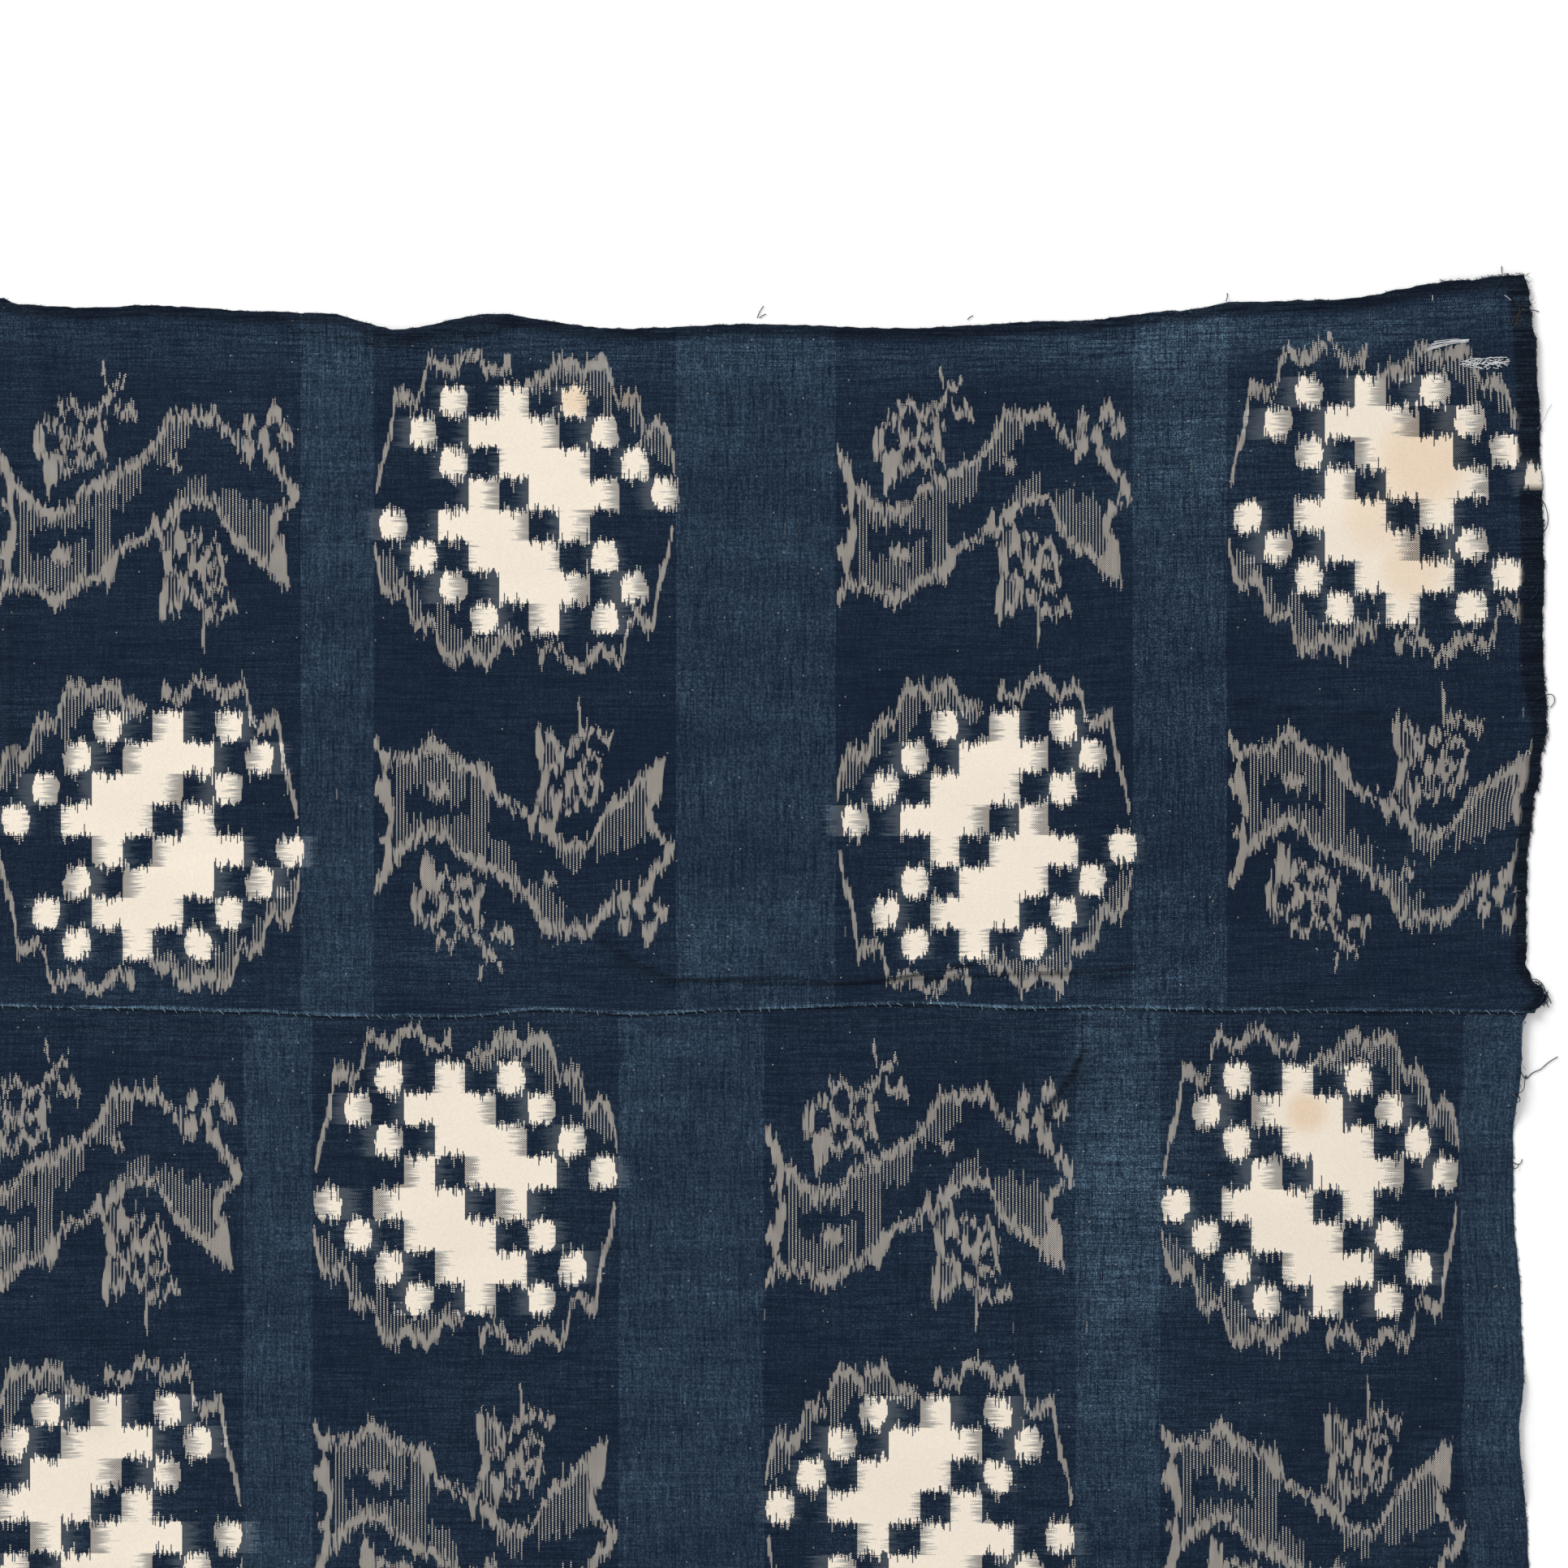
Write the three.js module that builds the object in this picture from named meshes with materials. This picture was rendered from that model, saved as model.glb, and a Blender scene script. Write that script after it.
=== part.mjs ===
// An indigo double-ikat cotton cloth: two hand-loom widths, sewn selvedge to selvedge, lying on a flat surface.
// The warp runs left to right and the weft runs up and down, so each loom width is a long strip along X.
// Millimetres: +X is right along the warp, +Y is up the cloth along the weft, +Z is up from the surface.
// The origin is the middle of the cloth's outline, on the surface.

import * as THREE from 'three';

// Driving dimensions.
const LOOM_WIDTH = 330; // selvedge to selvedge of one strip
const CLOTH_THICKNESS = 1.2;
const LEFT_X = -490.6; // the cut end
const RIGHT_X = 480; // the worn end, before its unevenness
const SEAM_Y = -10.7;
const SEAM_GAP = 0.3;
const TOP_Y = SEAM_Y + LOOM_WIDTH;
const BOTTOM_Y = SEAM_Y - LOOM_WIDTH;
const END_STRETCH = 60; // how far in from each end its unevenness pulls the cloth

// Turned edges, where the cloth lies double.
const TOP_HEM = 7;
const END_HEM = 8;
const SEAM_ALLOWANCE = 6;
const NO_HEM = 0;
const FOLDED_EXTRA = 0.9;
const FOLD_STEP = 3;

// Mesh lines stand close together near an edge, at these distances from it, and evenly elsewhere.
const CLOSE_LINES = [0, 3.5, 7, 11, 17, 25];
const LINE_SPACING = 20;

// How far each edge strays from its straight line. An upright edge is listed from top to bottom.
const TOP_EDGE = [
  { x: -490.6, rise: 3.5 }, { x: -415, rise: 1.2 }, { x: -342, rise: 5.0 }, { x: -272, rise: 8.5 },
  { x: -248, rise: 10.7 }, { x: -240, rise: 7.6 }, { x: -210, rise: 6.0 }, { x: -178, rise: 7.2 },
  { x: -117, rise: 4.1 }, { x: -93, rise: 3.3 }, { x: -58, rise: -4.4 }, { x: -14, rise: 2.9 },
  { x: 46, rise: -4.0 }, { x: 112, rise: -1.7 }, { x: 182, rise: -3.8 }, { x: 264, rise: -0.2 },
  { x: 318, rise: 4.9 }, { x: 342, rise: 8.8 }, { x: 388, rise: 9.9 }, { x: 450, rise: 18.8 },
  { x: 474, rise: 21.4 }, { x: 490.6, rise: 20.6 },
];
const SEAM_LINE = [
  { x: -490.6, rise: 1.5 }, { x: -430, rise: -1.5 }, { x: -360, rise: 1.0 }, { x: -285, rise: 3.2 },
  { x: -191, rise: 1.2 }, { x: -130, rise: -0.4 }, { x: -82, rise: -2.4 }, { x: -30, rise: -2.7 },
  { x: 12, rise: 0.8 }, { x: 56, rise: -1.6 }, { x: 104, rise: 0.8 }, { x: 190, rise: 3.5 },
  { x: 243, rise: 1.2 }, { x: 266, rise: 1.9 }, { x: 347, rise: 0.4 }, { x: 426, rise: 0 },
  { x: 490.6, rise: -0.6 },
];
const BOTTOM_EDGE = [
  { x: -490.6, rise: 1.8 }, { x: -400, rise: 0.4 }, { x: -300, rise: 2.2 }, { x: -200, rise: 0.8 },
  { x: -90, rise: 0 }, { x: 20, rise: 1.8 }, { x: 130, rise: 0.6 }, { x: 240, rise: 2.4 },
  { x: 350, rise: 1.0 }, { x: 490.6, rise: 3.0 },
];
const LEFT_END = [
  { y: 345, reach: 2.4 }, { y: 250, reach: 0.4 }, { y: 140, reach: 1.8 }, { y: 60, reach: 0 },
  { y: -10.7, reach: 1.0 }, { y: -100, reach: 2.4 }, { y: -200, reach: 0.6 }, { y: -290, reach: 1.8 },
  { y: -345, reach: 3.2 },
];
const UPPER_RIGHT_END = [
  { y: 345, reach: -1.4 }, { y: 329, reach: 2.1 }, { y: 306, reach: 4.8 }, { y: 263, reach: 7.3 },
  { y: 201, reach: 9.1 }, { y: 178, reach: 8.3 }, { y: 125, reach: 10.3 }, { y: 104, reach: 7.1 },
  { y: 85, reach: 3.6 }, { y: 62, reach: 0.9 }, { y: 23, reach: -0.6 }, { y: 13, reach: 0.5 },
  { y: -4, reach: 10.6 }, { y: -11, reach: 4.0 },
];
const LOWER_RIGHT_END = [
  { y: -11, reach: 0.9 }, { y: -17, reach: -1.4 }, { y: -32, reach: -1.8 }, { y: -70, reach: -5.3 },
  { y: -98, reach: -5.3 }, { y: -156, reach: -1.4 }, { y: -183, reach: -0.2 }, { y: -210, reach: -2.9 },
  { y: -264, reach: 1.7 }, { y: -288, reach: 2.5 }, { y: -315, reach: 0.4 }, { y: -345, reach: 1.4 },
];

// The creases and ripples: each lifts the cloth into a soft ridge along its line, from the surface to its height.
const RIDGES = [
  { where: 'rolled stretch of the top hem', height: 3.2, half: 13, line: [[-108, 316], [-58, 311], [-6, 318]] },
  { where: 'top hem at the left', height: 1.8, half: 12, line: [[-262, 323], [-238, 318]] },
  { where: 'top corner at the worn end', height: 2.4, half: 16, line: [[452, 334], [478, 318], [482, 286]] },
  { where: 'pucker down from the top, left', height: 2.2, half: 14, line: [[-236, 322], [-229, 292], [-221, 258]] },
  { where: 'pleat above the seam, falling part', height: 2.8, half: 10, line: [[34, 28], [52, 14], [72, 5]] },
  { where: 'pleat above the seam, long part', height: 2.4, half: 9, line: [[72, 5], [148, 3.5], [228, 8], [292, 11]] },
  { where: 'ripple above the seam, right', height: 1.6, half: 10, line: [[300, 4], [352, 0], [396, 4]] },
  { where: 'fold below the seam, right', height: 3.2, half: 12, line: [[274, -15], [268, -29], [256, -50]] },
  { where: 'ripple below the seam, right', height: 2.0, half: 13, line: [[221, -28], [227, -52], [237, -74]] },
  { where: 'level pleat near the worn end', height: 2.0, half: 13, line: [[338, 139], [388, 131], [438, 129]] },
  { where: 'standing crease, left', height: 2.4, half: 14, line: [[-243, 190], [-242, 150], [-243, 116]] },
  { where: 'slanting ripple, lower left', height: 2.0, half: 15, line: [[-221, -109], [-214, -155], [-205, -202]] },
  { where: 'standing ripple, lower middle', height: 1.8, half: 14, line: [[-32, -164], [-30, -192], [-31, -212]] },
  { where: 'standing ripple, lower right', height: 1.8, half: 14, line: [[232, -132], [233, -160], [231, -186]] },
  { where: 'lifted edge below the seam tab', height: 4.2, half: 16, line: [[482, -20], [478, -36], [476, -52]] },
  { where: 'lifted edge lower down', height: 2.6, half: 14, line: [[477, -190], [478, -212], [479, -236]] },
  { where: 'pleat above the seam, far left', height: 2.4, half: 11, line: [[-432, 12], [-392, 5], [-346, 8]] },
  { where: 'slanting ripple, far left', height: 2.2, half: 15, line: [[-398, -64], [-386, -112], [-366, -150]] },
  { where: 'level ripple, far left', height: 2.0, half: 14, line: [[-452, 196], [-396, 188], [-352, 193]] },
];

// A table's value at a place between its rows, eased so that the edge bends without kinks.
function along(table, place, key, value) {
  const ascending = table[0][key] < table.at(-1)[key];
  const rows = ascending ? table : [...table].reverse();
  const next = rows.findIndex((row) => row[key] > place);
  if (next === 0) return rows[0][value];
  if (next === -1) return rows.at(-1)[value];
  const before = rows[next - 1];
  const after = rows[next];
  const share = (place - before[key]) / (after[key] - before[key]);
  return THREE.MathUtils.lerp(before[value], after[value], share * share * (3 - 2 * share));
}

function distanceToLine(x, y, line) {
  const point = new THREE.Vector3(x, y, 0);
  const nearest = new THREE.Vector3();
  const segment = new THREE.Line3();
  let least = Infinity;
  for (let i = 1; i < line.length; i += 1) {
    segment.start.set(...line[i - 1], 0);
    segment.end.set(...line[i], 0);
    segment.closestPointToPoint(point, true, nearest);
    least = Math.min(least, nearest.distanceTo(point));
  }
  return least;
}

// How high the cloth's underside stands off the surface: nothing between the ridges.
function lift(x, y) {
  return RIDGES.reduce((highest, { line, half, height }) => {
    const share = Math.min(1, distanceToLine(x, y, line) / half);
    return Math.max(highest, height * (1 - share * share) ** 2);
  }, 0);
}

// How far the cloth is doubled at a distance from an edge whose turning is that wide: 1 on the fold, 0 past it.
function foldedShare(distance, width) {
  return width === 0 ? 0 : 1 - THREE.MathUtils.smoothstep(distance, width, width + FOLD_STEP);
}

// The places of the mesh lines from 0 to a length, close together at both ends.
function lines(length) {
  const inner = length - 2 * CLOSE_LINES.at(-1);
  const count = Math.round(inner / LINE_SPACING);
  const even = Array.from({ length: count - 1 }, (_, i) => CLOSE_LINES.at(-1) + (inner * (i + 1)) / count);
  return [...CLOSE_LINES, ...even, ...CLOSE_LINES.map((d) => length - d).reverse()];
}

// One strip of cloth as a closed sheet. low and high give its two long edges at x, and rightEnd its worn end.
function strip(name, { low, high, rightEnd, topHem, endHem, seamSide, colour }) {
  const across = lines(RIGHT_X - LEFT_X);
  const up = lines(LOOM_WIDTH);
  const top = [];
  const underside = [];
  for (const v of up) {
    for (const u of across) {
      const straightX = LEFT_X + u;
      const y = THREE.MathUtils.lerp(low(straightX), high(straightX), v / LOOM_WIDTH);
      const nearLeft = Math.max(0, 1 - u / END_STRETCH);
      const nearRight = Math.max(0, 1 - (RIGHT_X - straightX) / END_STRETCH);
      const x = straightX + nearLeft * along(LEFT_END, y, 'y', 'reach')
        + nearRight * along(rightEnd, y, 'y', 'reach');
      const folded = Math.max(
        foldedShare(LOOM_WIDTH - v, topHem),
        foldedShare(RIGHT_X - straightX, endHem),
        foldedShare(seamSide === 'low' ? v : LOOM_WIDTH - v, SEAM_ALLOWANCE),
      );
      const under = lift(x, y);
      underside.push(x, y, under);
      top.push(x, y, under + CLOTH_THICKNESS + FOLDED_EXTRA * folded);
    }
  }

  const columns = across.length;
  const rows = up.length;
  const layer = columns * rows;
  const index = [];
  const quad = (a, b, c, d) => index.push(a, b, c, a, c, d);
  for (let j = 0; j < rows - 1; j += 1) {
    for (let i = 0; i < columns - 1; i += 1) {
      const a = j * columns + i;
      quad(a, a + 1, a + 1 + columns, a + columns);
      quad(layer + a, layer + a + columns, layer + a + 1 + columns, layer + a + 1);
    }
  }
  // The rim, walked anticlockwise as seen from above.
  const rim = [
    ...Array.from({ length: columns - 1 }, (_, i) => i),
    ...Array.from({ length: rows - 1 }, (_, j) => j * columns + columns - 1),
    ...Array.from({ length: columns - 1 }, (_, i) => layer - 1 - i),
    ...Array.from({ length: rows - 1 }, (_, j) => (rows - 1 - j) * columns),
  ];
  rim.forEach((a, i) => {
    const b = rim[(i + 1) % rim.length];
    quad(layer + a, layer + b, b, a);
  });

  const geometry = new THREE.BufferGeometry();
  geometry.setAttribute('position', new THREE.Float32BufferAttribute([...top, ...underside], 3));
  geometry.setIndex(index);
  geometry.computeVertexNormals();
  const cotton = new THREE.MeshStandardMaterial({ color: colour, roughness: 0.95, metalness: 0 });
  const mesh = new THREE.Mesh(geometry, cotton);
  mesh.name = name;
  return mesh;
}

const seamAt = (x) => SEAM_Y + along(SEAM_LINE, x, 'x', 'rise');

const cloth = new THREE.Group();

// The upper loom width: a selvedge turned under along its top, and a frayed turned end at the right.
cloth.add(strip('upper_loom_width', {
  low: (x) => seamAt(x) + SEAM_GAP / 2,
  high: (x) => TOP_Y + along(TOP_EDGE, x, 'x', 'rise'),
  rightEnd: UPPER_RIGHT_END,
  topHem: TOP_HEM,
  endHem: END_HEM,
  seamSide: 'low',
  colour: '#22304a',
}));

// The lower loom width: its other selvedge lies flat at the bottom, and its right end is thin and worn.
cloth.add(strip('lower_loom_width', {
  low: (x) => BOTTOM_Y + along(BOTTOM_EDGE, x, 'x', 'rise'),
  high: (x) => seamAt(x) - SEAM_GAP / 2,
  rightEnd: LOWER_RIGHT_END,
  topHem: NO_HEM,
  endHem: NO_HEM,
  seamSide: 'high',
  colour: '#1f2d46',
}));

export default cloth;
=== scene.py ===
import math
import random

import bpy
import numpy as np
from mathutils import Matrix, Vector, noise


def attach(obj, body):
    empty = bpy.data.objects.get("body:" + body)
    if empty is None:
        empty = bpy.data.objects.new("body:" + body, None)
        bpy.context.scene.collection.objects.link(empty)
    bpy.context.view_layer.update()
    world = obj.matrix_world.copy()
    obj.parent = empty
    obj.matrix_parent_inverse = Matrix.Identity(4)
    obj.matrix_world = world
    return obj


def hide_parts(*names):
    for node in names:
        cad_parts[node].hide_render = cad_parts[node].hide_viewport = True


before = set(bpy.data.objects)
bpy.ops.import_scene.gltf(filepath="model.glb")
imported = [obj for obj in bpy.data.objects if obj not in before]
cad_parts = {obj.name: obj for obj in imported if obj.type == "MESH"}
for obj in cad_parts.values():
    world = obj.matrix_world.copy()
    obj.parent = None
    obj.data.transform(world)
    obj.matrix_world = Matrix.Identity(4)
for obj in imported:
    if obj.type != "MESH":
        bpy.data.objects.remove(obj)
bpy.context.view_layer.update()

# The frame's own solids come in selected.
for loaded in bpy.context.selected_objects:
    loaded.select_set(False)

# The camera hangs straight above the cloth, as in the photo, which crops it at the left and below.
# A long lens keeps the raised creases from leaning outwards.
VIEW_SIDE = 0.7496
VIEW_MIDDLE = (0.1263, 0.0980)
LENS_MM = 100

bpy.ops.object.camera_add(rotation=(0, 0, 0))
camera = bpy.context.object
camera.data.lens = LENS_MM
camera_height = VIEW_SIDE * LENS_MM / camera.data.sensor_width
camera.location = (*VIEW_MIDDLE, camera_height)
bpy.context.scene.camera = camera
bpy.context.scene.view_settings.view_transform = "Standard"


# The studio: a white paper floor and one large soft lamp up and to the left, with white light all round.
# The lamp rakes a little, so that the creases throw short soft shadows to the lower right.
def linear(colour):
    """The linear RGBA of an sRGB hex colour."""
    shares = [int(colour[i:i + 2], 16) / 255 for i in (1, 3, 5)]
    return [c / 12.92 if c <= 0.04045 else ((c + 0.055) / 1.055) ** 2.4 for c in shares] + [1.0]


def add(tree, kind, *values, out=0, **settings):
    """Adds a node, such as "TexNoise" or "Math ADD" with its operation, and returns one of its outputs.

    It makes the node's settings, and gives its inputs values or links, in order."""
    kind, _, operation = kind.partition(" ")
    made = tree.nodes.new("ShaderNode" + kind)
    if operation:
        made.operation = operation
    for name, value in settings.items():
        setattr(made, name, value)
    for socket, value in zip(made.inputs, values):
        if isinstance(value, bpy.types.NodeSocket):
            tree.links.new(value, socket)
        elif value is not None:
            socket.default_value = value
    return made.outputs[out]


def finish_of(name, roughness):
    """A new material with a matte surface: its node tree and its shader."""
    material = bpy.data.materials.new(name)
    material.use_nodes = True
    shader = material.node_tree.nodes["Principled BSDF"]
    shader.inputs["Roughness"].default_value = roughness
    shader.inputs["Specular IOR Level"].default_value = 0.15
    return material, material.node_tree, shader


PAPER_GRAINS_A_METRE = 900.0
bpy.ops.mesh.primitive_plane_add(size=8)
floor = bpy.context.object
floor.name = "paper_floor"
paper, paper_tree, paper_shader = finish_of("white_background_paper", 0.9)
paper_grain = add(paper_tree, "TexNoise", None, None, PAPER_GRAINS_A_METRE, 2.0)
paper_white = add(paper_tree, "MapRange", paper_grain, 0.3, 0.7, 0.96, 0.98)
paper_tree.links.new(paper_white, paper_shader.inputs["Base Color"])
floor.data.materials.append(paper)

LAMP_PLACE = (-2.7, 2.9, 3.1)
LAMP_SIZE = 2.0
LAMP_POWER = 176
ROOM_LIGHT = 0.73
bpy.ops.object.light_add(type="AREA", location=LAMP_PLACE)
lamp = bpy.context.object
lamp.data.size = LAMP_SIZE
lamp.data.energy = LAMP_POWER
lamp.rotation_euler = (Vector((*VIEW_MIDDLE, 0)) - Vector(LAMP_PLACE)).to_track_quat("-Z", "Y").to_euler()
room = bpy.data.worlds.new("white_studio")
room.use_nodes = True
room_inputs = room.node_tree.nodes["Background"].inputs
room_inputs["Color"].default_value = (1.0, 1.0, 1.0, 1.0)
room_inputs["Strength"].default_value = ROOM_LIGHT
bpy.context.scene.world = room

# The two loom widths: indigo cotton, woven 33 cm wide on a hand loom and cut to the same length.
# They are sewn selvedge to selvedge along the seam. The upper one's top and right end are turned under.
# Each edge is listed as (place along it, how far it strays from straight), in metres, close to the frame's.
LOOM_WIDTH = 0.330
LEFT_X = -0.4906
RIGHT_X = 0.480
LENGTH = RIGHT_X - LEFT_X
SEAM_Y = -0.0107
SEAM_GAP = 0.0003
SEAM_ALLOWANCE = 0.006
TOP_HEM = 0.007
END_HEM = 0.008
END_STRETCH = 0.060
CLOTH_THICKNESS = 0.0006
FOLD_HEIGHT = 0.00075

TOP_EDGE = [
    (-0.4906, 0.0035), (-0.415, 0.0012), (-0.342, 0.0050), (-0.272, 0.0085), (-0.248, 0.0107),
    (-0.240, 0.0076), (-0.210, 0.0060), (-0.178, 0.0072), (-0.117, 0.0041), (-0.093, 0.0033),
    (-0.058, -0.0044), (-0.014, 0.0029), (0.046, -0.0040), (0.112, -0.0017), (0.182, -0.0038),
    (0.264, -0.0002), (0.318, 0.0049), (0.342, 0.0088), (0.388, 0.0099), (0.450, 0.0188),
    (0.474, 0.0214), (0.4906, 0.0206),
]
SEAM_LINE = [
    (-0.4906, 0.0015), (-0.430, -0.0015), (-0.360, 0.0010), (-0.285, 0.0032), (-0.191, 0.0012),
    (-0.130, -0.0004), (-0.082, -0.0024), (-0.030, -0.0027), (0.012, 0.0008), (0.056, -0.0016),
    (0.104, 0.0008), (0.190, 0.0035), (0.243, 0.0012), (0.266, 0.0019), (0.347, 0.0004),
    (0.426, 0.0), (0.4906, -0.0006),
]
BOTTOM_EDGE = [
    (-0.4906, 0.0018), (-0.400, 0.0004), (-0.300, 0.0022), (-0.200, 0.0008), (-0.090, 0.0),
    (0.020, 0.0018), (0.130, 0.0006), (0.240, 0.0024), (0.350, 0.0010), (0.4906, 0.0030),
]
LEFT_END = [
    (-0.345, 0.0032), (-0.290, 0.0018), (-0.200, 0.0006), (-0.100, 0.0024), (-0.0107, 0.0010),
    (0.060, 0.0), (0.140, 0.0018), (0.250, 0.0004), (0.345, 0.0024),
]
UPPER_RIGHT_END = [
    (-0.011, 0.0040), (-0.004, 0.0104), (0.000, 0.0080), (0.005, 0.0030), (0.013, 0.0005), (0.062, 0.0009),
    (0.085, 0.0036), (0.104, 0.0071), (0.125, 0.0103), (0.178, 0.0083), (0.201, 0.0091),
    (0.263, 0.0073), (0.306, 0.0050), (0.325, 0.0024), (0.337, 0.0010), (0.343, -0.0030),
]
LOWER_RIGHT_END = [
    (-0.345, 0.0014), (-0.315, 0.0004), (-0.288, 0.0025), (-0.264, 0.0017), (-0.210, -0.0029),
    (-0.183, -0.0002), (-0.156, -0.0014), (-0.098, -0.0053), (-0.070, -0.0053), (-0.032, -0.0018),
    (-0.017, -0.0014), (-0.011, 0.0009),
]

# The ridges are the frame's own, as (height, reach to the left of the line, reach to its right, line).
# Looking along a line, a short reach makes the steep side of a pleat, and equal reaches a soft ripple.
RIDGES = [
    (0.0032, 0.008, 0.0036, [(-0.108, 0.316), (-0.058, 0.311), (-0.006, 0.318)]),
    (0.0018, 0.012, 0.012, [(-0.262, 0.323), (-0.238, 0.318)]),
    (0.0024, 0.016, 0.016, [(0.452, 0.334), (0.478, 0.318), (0.482, 0.286)]),
    (0.0022, 0.014, 0.009, [(-0.236, 0.322), (-0.229, 0.292), (-0.221, 0.258)]),
    (0.0026, 0.012, 0.0016, [(0.034, 0.028), (0.052, 0.014), (0.072, 0.005)]),
    (0.0022, 0.011, 0.0014, [(0.072, 0.005), (0.148, 0.0035), (0.228, 0.008), (0.292, 0.011)]),
    (0.0016, 0.010, 0.010, [(0.300, 0.004), (0.352, 0.0), (0.396, 0.004)]),
    (0.0030, 0.012, 0.0025, [(0.274, -0.015), (0.268, -0.029), (0.256, -0.050)]),
    (0.0020, 0.013, 0.008, [(0.221, -0.028), (0.227, -0.052), (0.237, -0.074)]),
    (0.0020, 0.013, 0.004, [(0.338, 0.139), (0.388, 0.131), (0.438, 0.129)]),
    (0.0024, 0.014, 0.006, [(-0.243, 0.190), (-0.242, 0.150), (-0.243, 0.116)]),
    (0.0020, 0.015, 0.015, [(-0.221, -0.109), (-0.214, -0.155), (-0.205, -0.202)]),
    (0.0018, 0.014, 0.007, [(-0.032, -0.164), (-0.030, -0.192), (-0.031, -0.212)]),
    (0.0018, 0.014, 0.007, [(0.232, -0.132), (0.233, -0.160), (0.231, -0.186)]),
    (0.0042, 0.016, 0.016, [(0.482, -0.020), (0.478, -0.036), (0.476, -0.052)]),
    (0.0026, 0.014, 0.014, [(0.477, -0.190), (0.478, -0.212), (0.479, -0.236)]),
    (0.0024, 0.011, 0.0016, [(-0.432, 0.012), (-0.392, 0.005), (-0.346, 0.008)]),
    (0.0022, 0.015, 0.015, [(-0.398, -0.064), (-0.386, -0.112), (-0.366, -0.150)]),
    (0.0020, 0.014, 0.010, [(-0.452, 0.196), (-0.396, 0.188), (-0.352, 0.193)]),
]


def eased(rows, places):
    """The value of a table of (place, value) at each place, eased so that an edge bends without kinks."""
    at, value = np.array(rows).T
    i = np.clip(np.searchsorted(at, places, side="right") - 1, 0, len(at) - 2)
    share = np.clip((places - at[i]) / (at[i + 1] - at[i]), 0, 1)
    return value[i] + (value[i + 1] - value[i]) * share ** 2 * (3 - 2 * share)


def smooth(low, high, values):
    """0 up to low, 1 from high on, and eased between them."""
    share = np.clip((values - low) / (high - low), 0, 1)
    return share ** 2 * (3 - 2 * share)


def nearest_to(line, x, y):
    """How far each point lies from a bent line, and on which side: above 0 is to its left."""
    nearest = np.full_like(x, np.inf)
    side = np.zeros_like(x)
    for (x0, y0), (x1, y1) in zip(line, line[1:]):
        along_x, along_y = x1 - x0, y1 - y0
        share = ((x - x0) * along_x + (y - y0) * along_y) / (along_x ** 2 + along_y ** 2)
        share = np.clip(share, 0, 1)
        gap = np.hypot(x - x0 - share * along_x, y - y0 - share * along_y)
        leftward = along_x * (y - y0) - along_y * (x - x0)
        side = np.where(gap < nearest, leftward, side)
        nearest = np.minimum(gap, nearest)
    return nearest, side


def lift(x, y):
    """How high the cloth's underside stands off the floor: the highest ridge at each point."""
    highest = np.zeros_like(x)
    for height, left_reach, right_reach, line in RIDGES:
        nearest, side = nearest_to(line, x, y)
        reach = np.where(side > 0, left_reach, right_reach)
        highest = np.maximum(highest, height * (1 - np.clip(nearest / reach, 0, 1) ** 2) ** 2)
    return highest


def seam_at(x):
    """The seam's own place up the cloth, at each place along it."""
    return SEAM_Y + eased(SEAM_LINE, x)


def stations(*stretches):
    """Places from the first start on, at each stretch's own spacing: stretches are (end, spacing)."""
    places = [stretches[0]]
    for end, spacing in stretches[1:]:
        start = places[-1]
        count = max(1, round((end - start) / spacing))
        places += [start + (end - start) * (i + 1) / count for i in range(count)]
    return np.array(places)


def turned(distance, hem):
    """Where cloth lies near a turned edge: how far in from the edge, and how high above its lowest layer.

    distance is measured along the cloth from the fold, and is below 0 on the part that is turned under."""
    radius = FOLD_HEIGHT / 2
    angle = np.clip(distance / radius, -math.pi / 2, math.pi / 2)
    past_fold = np.maximum(0, np.abs(distance) - radius * math.pi / 2)
    inset = radius * (1 - np.cos(angle)) + past_fold
    level = radius * (1 + np.sin(angle))
    settles = smooth(hem + 0.0005, hem + 0.004, distance)
    return inset, level * (1 - settles)


def noise_at(x, y, per_metre_x, per_metre_y, layer):
    """Smooth noise at each point, from -1 to 1."""
    return np.array([noise.noise(Vector((a * per_metre_x, b * per_metre_y, layer))) for a, b in zip(x, y)])


# Places washed paler, or kept darker below 0, as (x, y, reach in x, reach in y, strength).
FADED_PLACES = [
    (0.287, -0.100, 0.030, 0.090, 1.2), (0.315, 0.280, 0.030, 0.060, 0.6),
    (-0.050, 0.020, 0.120, 0.020, 0.3), (0.060, 0.100, 0.320, 0.110, -0.20),
    (0.335, 0.085, 0.065, 0.065, -0.20), (0.155, 0.055, 0.040, 0.035, 0.20),
]
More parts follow.
